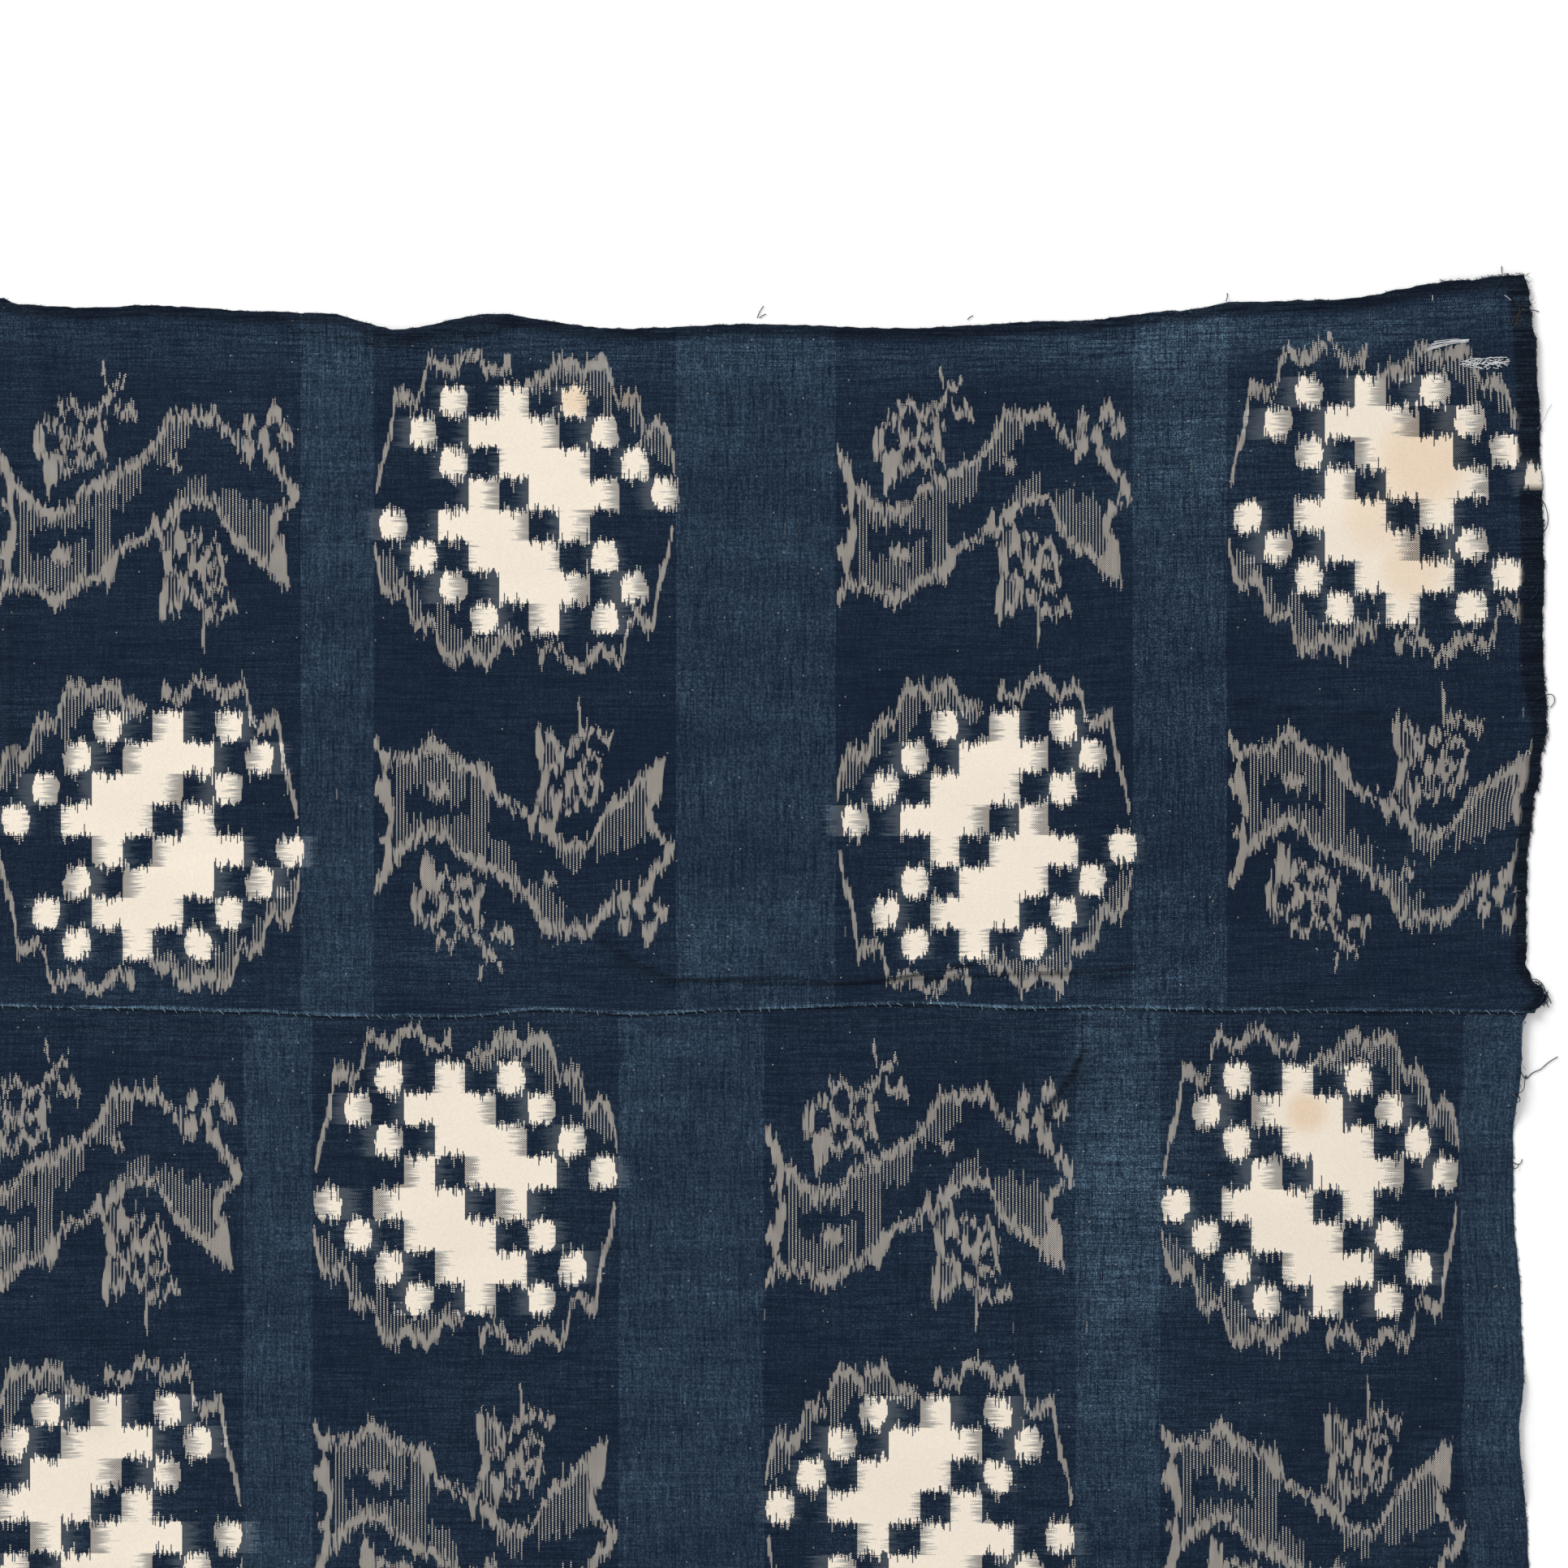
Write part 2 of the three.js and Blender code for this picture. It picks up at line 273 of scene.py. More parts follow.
# Painted shade: the sharp creases are drawn as dark lines, as (strength, half width, line).
PAINTED_CREASE_SHADE = [
    (0.9, 0.0012, [
        (0.0405, 0.0235), (0.0555, 0.0125), (0.0735, 0.0045), (0.1317, 0.0052), (0.1560, 0.0020),
    ]),
    (0.9, 0.0015, [(0.1560, 0.0020), (0.1980, 0.0080), (0.2180, 0.0118)]),
    (0.6, 0.0014, [(0.2480, 0.0070), (0.2750, 0.0068), (0.3060, 0.0062)]),
    (1.0, 0.0015, [(0.2691, -0.0130), (0.2690, -0.0300)]),
    (1.2, 0.0026, [(0.2690, -0.0300), (0.2637, -0.0413), (0.2560, -0.0515), (0.2510, -0.0620)]),
    (0.5, 0.0020, [(0.2202, -0.0211), (0.2240, -0.0351), (0.2345, -0.0704)]),
    (0.5, 0.0018, [(0.3393, 0.1383), (0.3878, 0.1313), (0.4363, 0.1298)]),
    (0.5, 0.0024, [(-0.2425, 0.1850), (-0.2422, 0.1500), (-0.2427, 0.1100)]),
    (0.4, 0.0022, [(-0.2330, 0.3250), (-0.2260, 0.2900), (-0.2200, 0.2580)]),
    (1.0, 0.0012, [
        (-0.0778, 0.3094), (-0.0623, 0.3071), (-0.0456, 0.3071), (-0.0305, 0.3094), (-0.0157, 0.3129),
    ]),
]
# Peach stains on the white yarn, as (x, y, radius, strength).
STAINS = [
    (0.431, 0.252, 0.029, 0.7), (0.411, 0.226, 0.024, 0.5), (0.427, 0.201, 0.021, 0.55),
    (0.376, -0.059, 0.013, 0.8), (0.027, 0.281, 0.010, 0.8), (0.052, 0.283, 0.007, 0.6),
]
# A strip of the rolled end that widens upwards is drawn darker, but for one white cell.
ROLL_WIDTH = 0.0052
ROLL_WIDENS = 0.004
WHITE_CELL_Y = 0.2465
# How dark the top hem and the shadow along the seam are, and how faded the cloth is near the seam and on it.
HEM_DARKNESS = 0.75
SEAM_SHADOW = 1.35
SEAM_FADING = 0.15
SEAM_RUB = 3.8
SEAM_RUB_VARIES = 4.0


def wear_and_shade_of(x, y, from_seam, from_top=None, from_end=None):
    """Darkness (painted shade and darker hems), fading and stains at each point. from_top and from_end are
    the upper width's hems alone.
    """
    painted_shade_and_dark_hems, faded, stained = np.zeros_like(x), np.zeros_like(x), np.zeros_like(x)
    # Painted shade along the sharp creases.
    for strength, half_width, line in PAINTED_CREASE_SHADE:
        painted_shade_and_dark_hems = np.maximum(painted_shade_and_dark_hems, strength * (1 - smooth(0.0, half_width, nearest_to(line, x, y)[0])))
    for worn_x, worn_y, reach_x, reach_y, strength in FADED_PLACES:
        faded += strength * np.exp(-((x - worn_x) / reach_x) ** 2 - ((y - worn_y) / reach_y) ** 2)
    for stain_x, stain_y, radius, strength in STAINS:
        away = np.hypot(x - stain_x, y - stain_y)
        stained = np.maximum(stained, strength * (1 - smooth(0.4 * radius, radius, away)))
    right_part = smooth(0.30, 0.42, x)
    faded += SEAM_FADING * smooth(-0.030, -0.004, -from_seam) * (1 - right_part)
    if from_end is None:
        # The lower fold of the seam lies dark in the upper one's shadow.
        painted_shade_and_dark_hems = np.maximum(painted_shade_and_dark_hems, SEAM_SHADOW * (1 - smooth(0.0005, 0.0016, np.abs(from_seam))))
    else:
        roll = ROLL_WIDTH + ROLL_WIDENS * smooth(0.12, 0.15, y)
        beside_cell = smooth(0.0055, 0.0075, np.abs(y - WHITE_CELL_Y))
        painted_shade_and_dark_hems = np.maximum(painted_shade_and_dark_hems, smooth(-0.0012, 0.0006, roll - from_end) * (0.12 + 0.88 * beside_cell))
        painted_shade_and_dark_hems = np.maximum(painted_shade_and_dark_hems, HEM_DARKNESS * smooth(-0.0065, -0.0050, -from_top))
        below_hem = smooth(-0.034, -0.012, -from_top) * smooth(0.005, 0.009, from_top)
        faded += below_hem * (0.4 + 0.6 * smooth(0.1, 0.35, x))
        # The upper fold of the seam is rubbed pale in places.
        on_fold = 1 - smooth(0.0008, 0.0018, np.abs(from_seam))
        rubbed = SEAM_RUB + SEAM_RUB_VARIES * noise_at(x, y, 90, 0, 5.3)
        rubbed = rubbed * on_fold * (1 - 0.6 * right_part)
        faded = np.where(on_fold > 0, np.maximum(faded, rubbed), faded)
    return np.column_stack([painted_shade_and_dark_hems, faded, stained, np.ones_like(x)])


def loom_width(name, low_edge, high_edge, right_end, rows, columns, hems, chart):
    """One strip of cloth as a sheet, with its weave's own coordinates and its wear and painted shade for the
    material.

    rows and columns are places along the weft and the warp, past an edge where the cloth is turned under.
    hems holds the width turned under at the low edge, the high edge and the right end.
    chart places the weave: (x, warp place in mm) pairs, the figures' middle line and their scale."""
    bpy.ops.mesh.primitive_grid_add(x_subdivisions=len(columns) - 1, y_subdivisions=len(rows) - 1, size=1)
    sheet = bpy.context.object
    sheet.name = sheet.data.name = name
    mesh = sheet.data
    unit = np.empty(len(mesh.vertices) * 3)
    mesh.vertices.foreach_get("co", unit)
    unit = unit.reshape(-1, 3) + 0.5
    u = columns[np.rint(unit[:, 0] * (len(columns) - 1)).astype(int)]
    v = rows[np.rint(unit[:, 1] * (len(rows) - 1)).astype(int)]

    low_hem, high_hem, end_hem = hems
    lie_u, lie_v = u.copy(), v.copy()
    level, end_level = np.zeros_like(u), np.zeros_like(u)
    stack = 1
    near_end, near_top = 0.4 * smooth(LENGTH - 0.004, LENGTH, u), 0
    if end_hem:
        inset, end_level = turned(LENGTH - u, end_hem)
        lie_u = LENGTH - inset
        stack = 1 + smooth(LENGTH - 2 * end_hem - 0.004, LENGTH - end_hem, lie_u)
        near_end, near_top = smooth(LENGTH - 0.010, LENGTH, u), smooth(LOOM_WIDTH - 0.006, LOOM_WIDTH, v)
    sides = (high_hem, LOOM_WIDTH - v, LOOM_WIDTH, -1), (low_hem, v, 0, 1)
    for hem, distance, edge, inwards in sides:
        if hem:
            inset, raised = turned(distance, hem)
            near = distance < LOOM_WIDTH / 2
            lie_v = np.where(near, edge + inwards * inset, lie_v)
            level = np.where(near, raised, level)

    straight_x = LEFT_X + lie_u
    low, high = low_edge(straight_x), high_edge(straight_x)
    y = low + (high - low) * lie_v / LOOM_WIDTH
    x = straight_x + np.clip(1 - lie_u / END_STRETCH, 0, None) * eased(LEFT_END, y)
    x = x + np.clip(1 - (LENGTH - lie_u) / END_STRETCH, 0, None) * eased(right_end, y)
    # The cloth ripples a little, and the worn folds of its free edges are lumpy, most of all the rolled end.
    ripple = 0.7 + noise_at(x, y, 24, 17, 3.1) + 0.4 * noise_at(x, y, 60, 70, 8.7)
    lumps = noise_at(x, y, 350, 350, 1.7)
    x = x + 0.0010 * lumps * near_end
    y = y + 0.0006 * lumps * near_top
    z = CLOTH_THICKNESS / 2 + lift(x, y) + 0.0003 * np.clip(ripple, 0, None)
    z = z + end_level + level * stack
    z = z + 0.0005 * np.clip(lumps + 0.4, 0, None) * np.maximum(near_end, near_top)
    mesh.vertices.foreach_set("co", np.column_stack([x, y, z]).ravel())

    warp_places, middle, weft_scale = chart
    unfolded = low + (high - low) * v / LOOM_WIDTH
    warp_mm = np.interp(LEFT_X + u, *np.array(warp_places).T)
    weft_mm = (unfolded - eased(middle, straight_x)) * 1000 * weft_scale
    weave = mesh.attributes.new("weave", "FLOAT_VECTOR", "POINT")
    weave.data.foreach_set("vector", np.column_stack([warp_mm, weft_mm, np.zeros_like(u)]).ravel())
    wear_and_painted_shade = mesh.attributes.new("wear_and_painted_shade", "FLOAT_COLOR", "POINT")
    shares = wear_and_shade_of(x, y, v, LOOM_WIDTH - v, LENGTH - u) if end_hem else wear_and_shade_of(x, y, LOOM_WIDTH - v)
    wear_and_painted_shade.data.foreach_set("color", shares.ravel())
    return sheet, np.column_stack([x, y, z])


# The ikat figures, charted in millimetres. The yarn is tied and dyed before it is woven: a run is a
# stretch of weft threads left white, as rows of (place along the warp, low end, high end). The lattice
# stands in one half of its column, and the scroll in the other half.
# Along the warp, a repeat is a column, a band of 38, a second column from 182 on, and a band of 76.
COLUMN_WIDTH = 144
SECOND_COLUMN = 182
REPEAT = 402
HALF_WIDE_BAND = 38
# W is a full white cell, o a rounded dot, and . stays indigo.
LATTICE = [
    "..o.W.o...",
    ".o.WWW.o..",
    "..o.WWW.o.",
    "...W.WWW.o",
]
LATTICE_TOP = 137.0
LATTICE_CELL = 14.8
LATTICE_COLUMN = 14.4

OUTLINE = {
    "left arc": [
        (1.4, 83, 92), (2.6, 87, 98), (3.8, 94, 104), (5, 100, 109), (6.4, 103, 112), (7.6, 106, 117),
        (8.8, 113, 126), (9.8, 121, 135), (10.9, 128, 137), (11.9, 128, 135), (12.8, 128.5, 137),
        (14.3, 127, 136), (16, 128.5, 134), (17.8, 126, 134), (19.6, 125.5, 131.5), (21.1, 128.5, 132.5),
        (22.9, 131.5, 136), (23.8, 133, 144), (25.1, 142.5, 149), (26.6, 145.5, 152), (28.1, 147, 153),
        (29.9, 144, 150.5), (31.7, 144, 150), (34.2, 141.5, 148.5), (36.7, 142.5, 148), (38.7, 141.5, 150),
        (41.2, 144.5, 152.5), (42.8, 148, 153.5), (45.3, 149, 154.5), (47.8, 150, 156), (50.3, 148.5, 154),
        (51.8, 145, 152), (53.3, 141.5, 148.5), (55.9, 141, 148), (58.9, 141.5, 146), (61.4, 142, 146.5),
        (63.4, 142, 152), (65.5, 143.5, 152),
    ],
    "right arc": [
        (72.5, 136.5, 140), (74.5, 136, 141.5), (77, 136.5, 142.5), (79.6, 137, 144), (82.6, 137, 142.5),
        (84.1, 139, 147), (85.6, 142, 149), (87.6, 145, 152), (89.6, 146.5, 153.5), (92.2, 146, 153.5),
        (94.2, 144, 151), (96.7, 142.5, 150), (99.2, 140, 147), (101.2, 142.5, 149.5),
        (103.8, 145.5, 151.5), (106.8, 144, 151.5), (109.3, 145, 153), (111.3, 142, 149.5),
        (112.8, 138, 146), (114.2, 132, 140), (115.6, 127.5, 134), (117.4, 128.5, 133.5),
        (120.4, 129.5, 136.5), (123.4, 128.5, 135), (125.4, 127, 134), (126.8, 120.5, 129),
        (128, 114.5, 123.5), (130, 111, 118.5), (132, 112.5, 119.5), (134.5, 115, 122), (137, 114.5, 120.5),
        (139.1, 112, 120), (140.8, 107, 116), (142.2, 101, 110), (143.6, 93, 103),
    ],
}
# In the hatched parts only every third weft thread is white.
OUTLINE_HATCH = {
    "under the right arc": [
        (75.5, 132.5, 141), (84.1, 133.5, 143), (89.1, 139, 148), (95.2, 137.5, 145), (101.2, 138, 145),
        (104.3, 133.5, 147), (108.3, 130.5, 147), (109.8, 121, 147), (113.8, 121.5, 135),
    ],
    "at the shoulder": [
        (116.4, 128.5, 133.5), (121.4, 124.5, 131.5), (122.9, 115.5, 130.5), (126.5, 116.5, 130.5),
        (128, 108.5, 120.5), (131.5, 108.5, 116.5), (133.5, 103, 115.5), (137.5, 101, 115.5),
        (141.6, 98, 112.5),
    ],
}
SCROLL = {
    "top line": [
        (9.8, 84.5, 94.5), (13, 81.5, 89.5), (17.4, 77, 84), (22, 73.5, 81), (27, 72, 78.5),
        (32.7, 73.5, 80), (37, 76.5, 83), (39.2, 82.5, 87.5), (45.7, 85.5, 92), (50, 87, 94.5),
        (55.5, 89.5, 95.5), (61, 94, 100.5), (65.3, 96, 102.5), (69.7, 99, 105.5), (75, 104.5, 111),
        (78, 109.5, 119), (81, 117, 124.5), (85, 119.5, 125.5), (91.5, 118.5, 125), (98, 119, 125.5),
        (103, 118, 126), (109, 112, 118), (113, 107, 114),
    ],
    "bottom line": [
        (0.5, 31, 38.5), (3.3, 35, 43), (5.4, 37.5, 47), (9.3, 38.5, 44), (15, 38, 43.5), (20.7, 37, 43),
        (25, 32, 38.5), (28, 28.5, 38.5), (31.6, 32, 39.5), (36, 36.5, 43), (39.2, 39.5, 46),
        (45.7, 42, 47), (50, 42.5, 49), (52.3, 42, 56.5), (54.5, 43, 59), (56.8, 47, 57.5),
        (58.8, 56.5, 62.5), (64, 59, 64.5), (70, 62, 66.5), (73, 63.5, 70), (74.6, 67, 76.5),
        (76.2, 64.5, 77), (78, 61.5, 68), (79.5, 67, 75.5), (83, 70, 79.5), (85, 70, 81), (87.7, 76, 82),
        (92.6, 79, 84), (98, 79, 85.5), (103, 78.5, 83.5), (106.7, 71, 77), (110, 64.5, 71),
        (113.3, 58.5, 66.5), (118.7, 56, 62), (125, 50.5, 57), (130.7, 45, 53.5), (135, 43, 53.5),
        (138.3, 39.5, 45),
    ],
    "left side, above": [
        (0.5, 100.5, 107.5), (2.7, 96, 105.5), (5, 89.5, 102), (6, 76, 100.5), (7.6, 70, 96),
        (8.8, 86.5, 94.5),
    ],
    "left side, bump": [(2.5, 77.5, 81.5), (5.5, 77, 82.5)],
    "left side, below": [
        (0.3, 54.5, 57.5), (1.1, 52.5, 60.5), (3.3, 51, 62), (5.2, 44, 63.5), (6.5, 49, 69),
        (8.2, 55.5, 75), (9.6, 62.5, 73.5),
    ],
    "berry, left": [(26, 54, 58), (28, 52, 60.5), (34, 52, 60.5), (36, 53.5, 58.5)],
    "berry, middle": [(81, 96.5, 100), (82.5, 96, 102), (86, 96, 102), (87.7, 97, 100)],
    "right turn, above": [
        (126.5, 100, 107.5), (129, 98.5, 106.5), (131, 95, 106.5), (133, 91, 103.5), (134.5, 90, 97),
        (137.5, 89, 95), (139.5, 80.5, 93), (142, 78.5, 90), (143.4, 80.5, 84.5),
    ],
    "right turn, below": [
        (130, 60.5, 72), (132, 59.5, 76.5), (134, 72, 79.5), (137, 75.5, 81.5), (139, 77.5, 82.5),
    ],
    "right turn, foot": [(130, 44, 54.5), (133, 42, 64), (135.5, 41, 65), (137, 40, 59.5), (139, 39, 43)],
    "sprig, left leaf": [(116, 101, 108.5), (118, 102.5, 111.5), (120, 101, 114.5), (122.3, 102.5, 110.5)],
    "sprig, upper left leaf": [(117, 114.5, 122), (119, 114.5, 124), (121, 114.5, 124), (122.5, 117, 122)],
    "sprig, thin thread": [(114, 104.5, 117), (114.8, 104.5, 117)],
    "sprig, left arm": [
        (123.8, 107.5, 112.5), (126, 107.5, 117), (128.5, 105.5, 117), (129.2, 107.5, 112.5),
    ],
    "sprig, top": [(128, 117.5, 124), (129.5, 118, 128), (133, 117.5, 127), (135, 117, 125)],
    "sprig, right arm": [
        (133.5, 110.5, 114.5), (136, 109.5, 117), (138.5, 110.5, 120), (140.5, 109.5, 114.5),
    ],
    "upper blossom, outer strand": [(17.8, 106.5, 114.5), (19, 103.5, 117.5), (20.3, 100.5, 119)],
    "upper blossom, inner strand": [(21, 104.5, 119.5), (22.2, 103.5, 121.5), (23, 105.5, 115.5)],
    "upper blossom, left crown": [
        (22.9, 117.5, 122.5), (24, 116.5, 119.5), (25.3, 115.5, 122.5), (26.2, 114.5, 118.5),
    ],
    "upper blossom, left crown end": [(27.3, 114.5, 122.5), (28.3, 116.5, 124.5), (29.3, 115.5, 120.5)],
    "upper blossom, crown and stem": [
        (29.8, 124.5, 131.5), (31, 121.5, 128.5), (33, 121.5, 127), (34.5, 124.5, 129.5), (36, 127, 132.5),
        (37.5, 126, 131), (38.6, 123.5, 129.5), (39.6, 120, 124), (41, 120, 124.5), (42.6, 118, 124),
        (44, 120.5, 127.5), (45.5, 122, 126), (47.8, 121.5, 126.5), (49.5, 122.5, 130), (51, 125.5, 130.5),
        (52.5, 128.5, 135.5), (53.5, 129.5, 136.5), (55.5, 131.5, 136), (57.5, 133, 139), (59, 134, 138),
        (60.5, 136.5, 143), (61.3, 139, 143),
    ],
    "upper blossom, between the eyes": [
        (30.2, 112.5, 120.5), (31, 110.5, 118.5), (33, 106.5, 116.5), (34.5, 107.5, 114.5),
        (37, 108.5, 113), (38.8, 105.5, 113.5), (39.8, 106.5, 120.5), (40.9, 114.5, 121.5),
    ],
    "upper blossom, right eye": [
        (41.2, 108.5, 114), (42.5, 106.5, 112.5), (44, 108.5, 114.5), (46, 109, 113.5),
        (47.4, 107.5, 115.5), (48.3, 104.5, 121.5), (49.6, 102.5, 122.5), (50.6, 102.5, 115.5),
    ],
    "upper blossom, right flap": [(50.9, 116.5, 119.5), (52, 116, 122.5), (52.8, 116.5, 121)],
    "upper blossom, right foot": [(50.9, 102, 108.5), (52, 100, 107.5), (53, 100.5, 104.5)],
    "upper blossom, lower eyes": [
        (29.6, 97.5, 107.5), (30.8, 94, 104.5), (32, 94.5, 101.5), (33.2, 94.5, 100), (35, 92.5, 98.5),
        (36.3, 96.5, 100), (38, 97.5, 102.5), (39.3, 98.5, 106.5), (40.6, 98, 106.5), (42, 96, 101.5),
        (44.5, 96.5, 103.5), (46, 97.5, 103.5), (47.5, 99, 106.5),
    ],
    "upper blossom, lower eyes, left": [(31, 104.5, 109.5), (33, 103.5, 109.5)],
    "upper blossom, tail": [
        (22.4, 94.5, 100.5), (23.4, 86.5, 108.5), (24.4, 82.5, 106.5), (25.4, 84.5, 100.5),
        (26.2, 86.5, 107.5), (27.4, 89.5, 104.5), (28.3, 90.5, 108.5), (29.4, 88.5, 102.5),
    ],
    "upper blossom, left tip": [(50.2, 141, 148.5), (51, 139, 147), (52, 136.5, 144)],
    "upper blossom, bud": [
        (56.3, 123.5, 131.5), (57.3, 121.5, 127.5), (58.5, 120, 125.5), (60, 121.5, 127.5),
        (62, 121, 127.5), (63, 122, 130.5), (64.5, 121.5, 128.5), (66, 119.5, 126.5), (67, 121.5, 124.5),
    ],
    "lower blossom, leaf": [(77.4, 27, 40), (78.6, 26, 42), (79.5, 23, 46), (80.3, 24, 47), (80.9, 37, 47)],
    "lower blossom, leaf side": [
        (79.2, 52, 58.5), (80, 47, 62.5), (81.5, 44.5, 57), (82.8, 45, 57.5), (83.8, 45.5, 49),
    ],
    "lower blossom, top left": [(77.7, 58.5, 62), (79, 56.5, 62.5), (80.2, 55, 58)],
    "lower blossom, shoulder": [
        (83.8, 54.5, 57.5), (85, 53.5, 62.5), (86, 58.5, 74.5), (87.5, 54, 68.5), (89, 55.5, 65.5),
        (90, 56.5, 63),
    ],
    "lower blossom, shoulder foot": [
        (84.4, 44, 48.5), (86, 42.5, 47.5), (87.4, 41, 48.5), (88.6, 37, 44), (89.8, 35, 49),
        (90.8, 34, 47),
    ],
    "lower blossom, leaf foot": [
        (82, 27, 33.5), (83.5, 28, 34), (85.5, 27.5, 34), (87, 29, 37), (88.2, 32, 41),
    ],
    "lower blossom, middle left": [
        (91.2, 48, 55), (92.4, 44.5, 57.5), (93.6, 45, 56.5), (94.8, 47.5, 54), (96, 47, 53),
        (97.6, 42, 55), (98.6, 37, 58.5), (99.6, 49, 60.5), (100.6, 55, 60), (102.4, 58, 63.5),
        (104.4, 57.5, 63), (105.6, 48, 60.5), (106.8, 44.5, 59.5), (107.8, 40, 55.5),
    ],
    "lower blossom, top": [(90.5, 62, 65.5), (92, 61.5, 66), (93.6, 62.5, 68), (94.2, 61.5, 65.5)],
    "lower blossom, top right": [(95.6, 61.5, 66.5), (96.8, 60, 67.5), (98, 60.5, 65.5)],
    "lower blossom, right side": [(108.3, 51, 56.5), (109.4, 53, 58)],
    "lower blossom, right edge": [(108.3, 40.5, 47), (109.2, 41, 44)],
    "lower blossom, bar": [(100.2, 48.5, 52), (101.4, 47, 53.5), (103, 47, 53), (105, 47, 51)],
    "lower blossom, foot ring": [
        (99.6, 37, 44.5), (101, 37.5, 43), (102.4, 35, 42), (103.8, 35.5, 40.5), (105.4, 36, 40.5),
        (107.3, 37.5, 42),
    ],
    "lower blossom, foot left": [
        (92.2, 35, 39), (93.4, 32, 40), (94.6, 30.5, 38), (96, 31, 36.5), (97.4, 30, 38),
    ],
    "lower blossom, thread": [(97.7, 12, 39), (98.6, 13, 33)],
    "lower blossom, foot": [
        (98.9, 23, 32), (100.5, 24.5, 31), (102.4, 25.5, 31.5), (104.6, 22, 29), (105.2, 24, 27),
    ],
    "lower blossom, bud": [
        (106.4, 25, 29.5), (107.6, 27, 33), (110, 28.5, 34), (112.5, 28, 35.5), (114.4, 27, 31),
    ],
}
SCROLL_HATCH = {
    "left part": [(10.5, 42, 91), (15.4, 41, 86.5)],
    "under the top line": [(15.9, 67, 84.5), (26, 68.5, 77.5), (37, 69, 80.5), (45.4, 69, 89)],
    "middle, whole": [(45.9, 46, 89), (54.5, 48.5, 93)],
    "under the rising line": [(55, 78, 93), (61, 79.5, 98), (68.5, 86.5, 101)],
    "under the hump": [
        (73.5, 98, 107.5), (76, 99, 111.5), (82.8, 100, 122), (85, 108.5, 122), (91.5, 108.5, 122),
    ],
    "above the bottom line": [
        (15.6, 41, 56.5), (25, 39, 54.5), (36, 39, 52.5), (37, 43, 63.5), (43.5, 45, 64),
    ],
    "over the ridge, left": [(85.5, 79.5, 86.5), (90, 81.5, 90.5), (95, 83.5, 94.5), (99.6, 82.5, 93.5)],
    "over the ridge, right": [
        (105.6, 75.5, 91), (110, 68, 86.5), (115.5, 59.5, 84.5), (120, 57.5, 83.5), (125, 54.5, 82.5),
        (129.5, 51.5, 77.5), (131, 49.5, 71),
    ],
    "lower blossom, neck": [(79.5, 55, 66.5), (84.5, 56.5, 68.5)],
    "lower blossom, leaf": [(81, 30, 45), (88.5, 33, 44)],
    "lower blossom, middle": [(91.2, 53, 62.5), (95.2, 53, 61.5)],
}

# Thread spacing: about 18 weft and 20 warp threads a centimetre.
WEFT_PITCH = 0.54
WARP_PITCH = 0.51
CHART_HEIGHT = 160


def depth_in_runs(tree, across, up, runs):
    """How deep a point lies inside white runs, in millimetres along its thread.

    Two curves give a run's middle and half height at each place, and it closes to a point just past its
    ends. Runs that lie side by side share curves."""
    close = 0.4
    layers = []
    for rows in sorted(runs.values(), key=lambda rows: rows[0][0]):
        start, end = rows[0], rows[-1]
        closed = [(start[0] - close, start[1], start[1]), *rows, (end[0] + close, end[1], end[1])]
        layer = next((made for made in layers if made[-1][0] < closed[0][0]), None)
        if layer is None:
            layers.append(list(closed))
        else:
            layer += closed
    deepest = None
    for rows in layers:
        heights = []
        middles = [(low + high) / 2 for _, low, high in rows]
        halves = [(high - low) / 2 for _, low, high in rows]
        for values in (middles, halves):
            output = add(tree, "FloatCurve", 1.0, across)
            mapping = output.node.mapping
            points = mapping.curves[0].points
            points[0].location = (0, values[0] / CHART_HEIGHT)
            points[1].location = (1, values[-1] / CHART_HEIGHT)
            for (place, _, _), value in zip(rows, values):
                if 0 < place < COLUMN_WIDTH:
                    points.new(place / COLUMN_WIDTH, value / CHART_HEIGHT)
            for point in points:
                point.handle_type = "VECTOR"
            mapping.update()
            heights.append(add(tree, "Math MULTIPLY", output, CHART_HEIGHT))
        middle, half = heights
        away = add(tree, "Math ABSOLUTE", add(tree, "Math SUBTRACT", up, middle))
        depth = add(tree, "Math SUBTRACT", half, away)
        deepest = depth if deepest is None else add(tree, "Math MAXIMUM", deepest, depth)
    return deepest


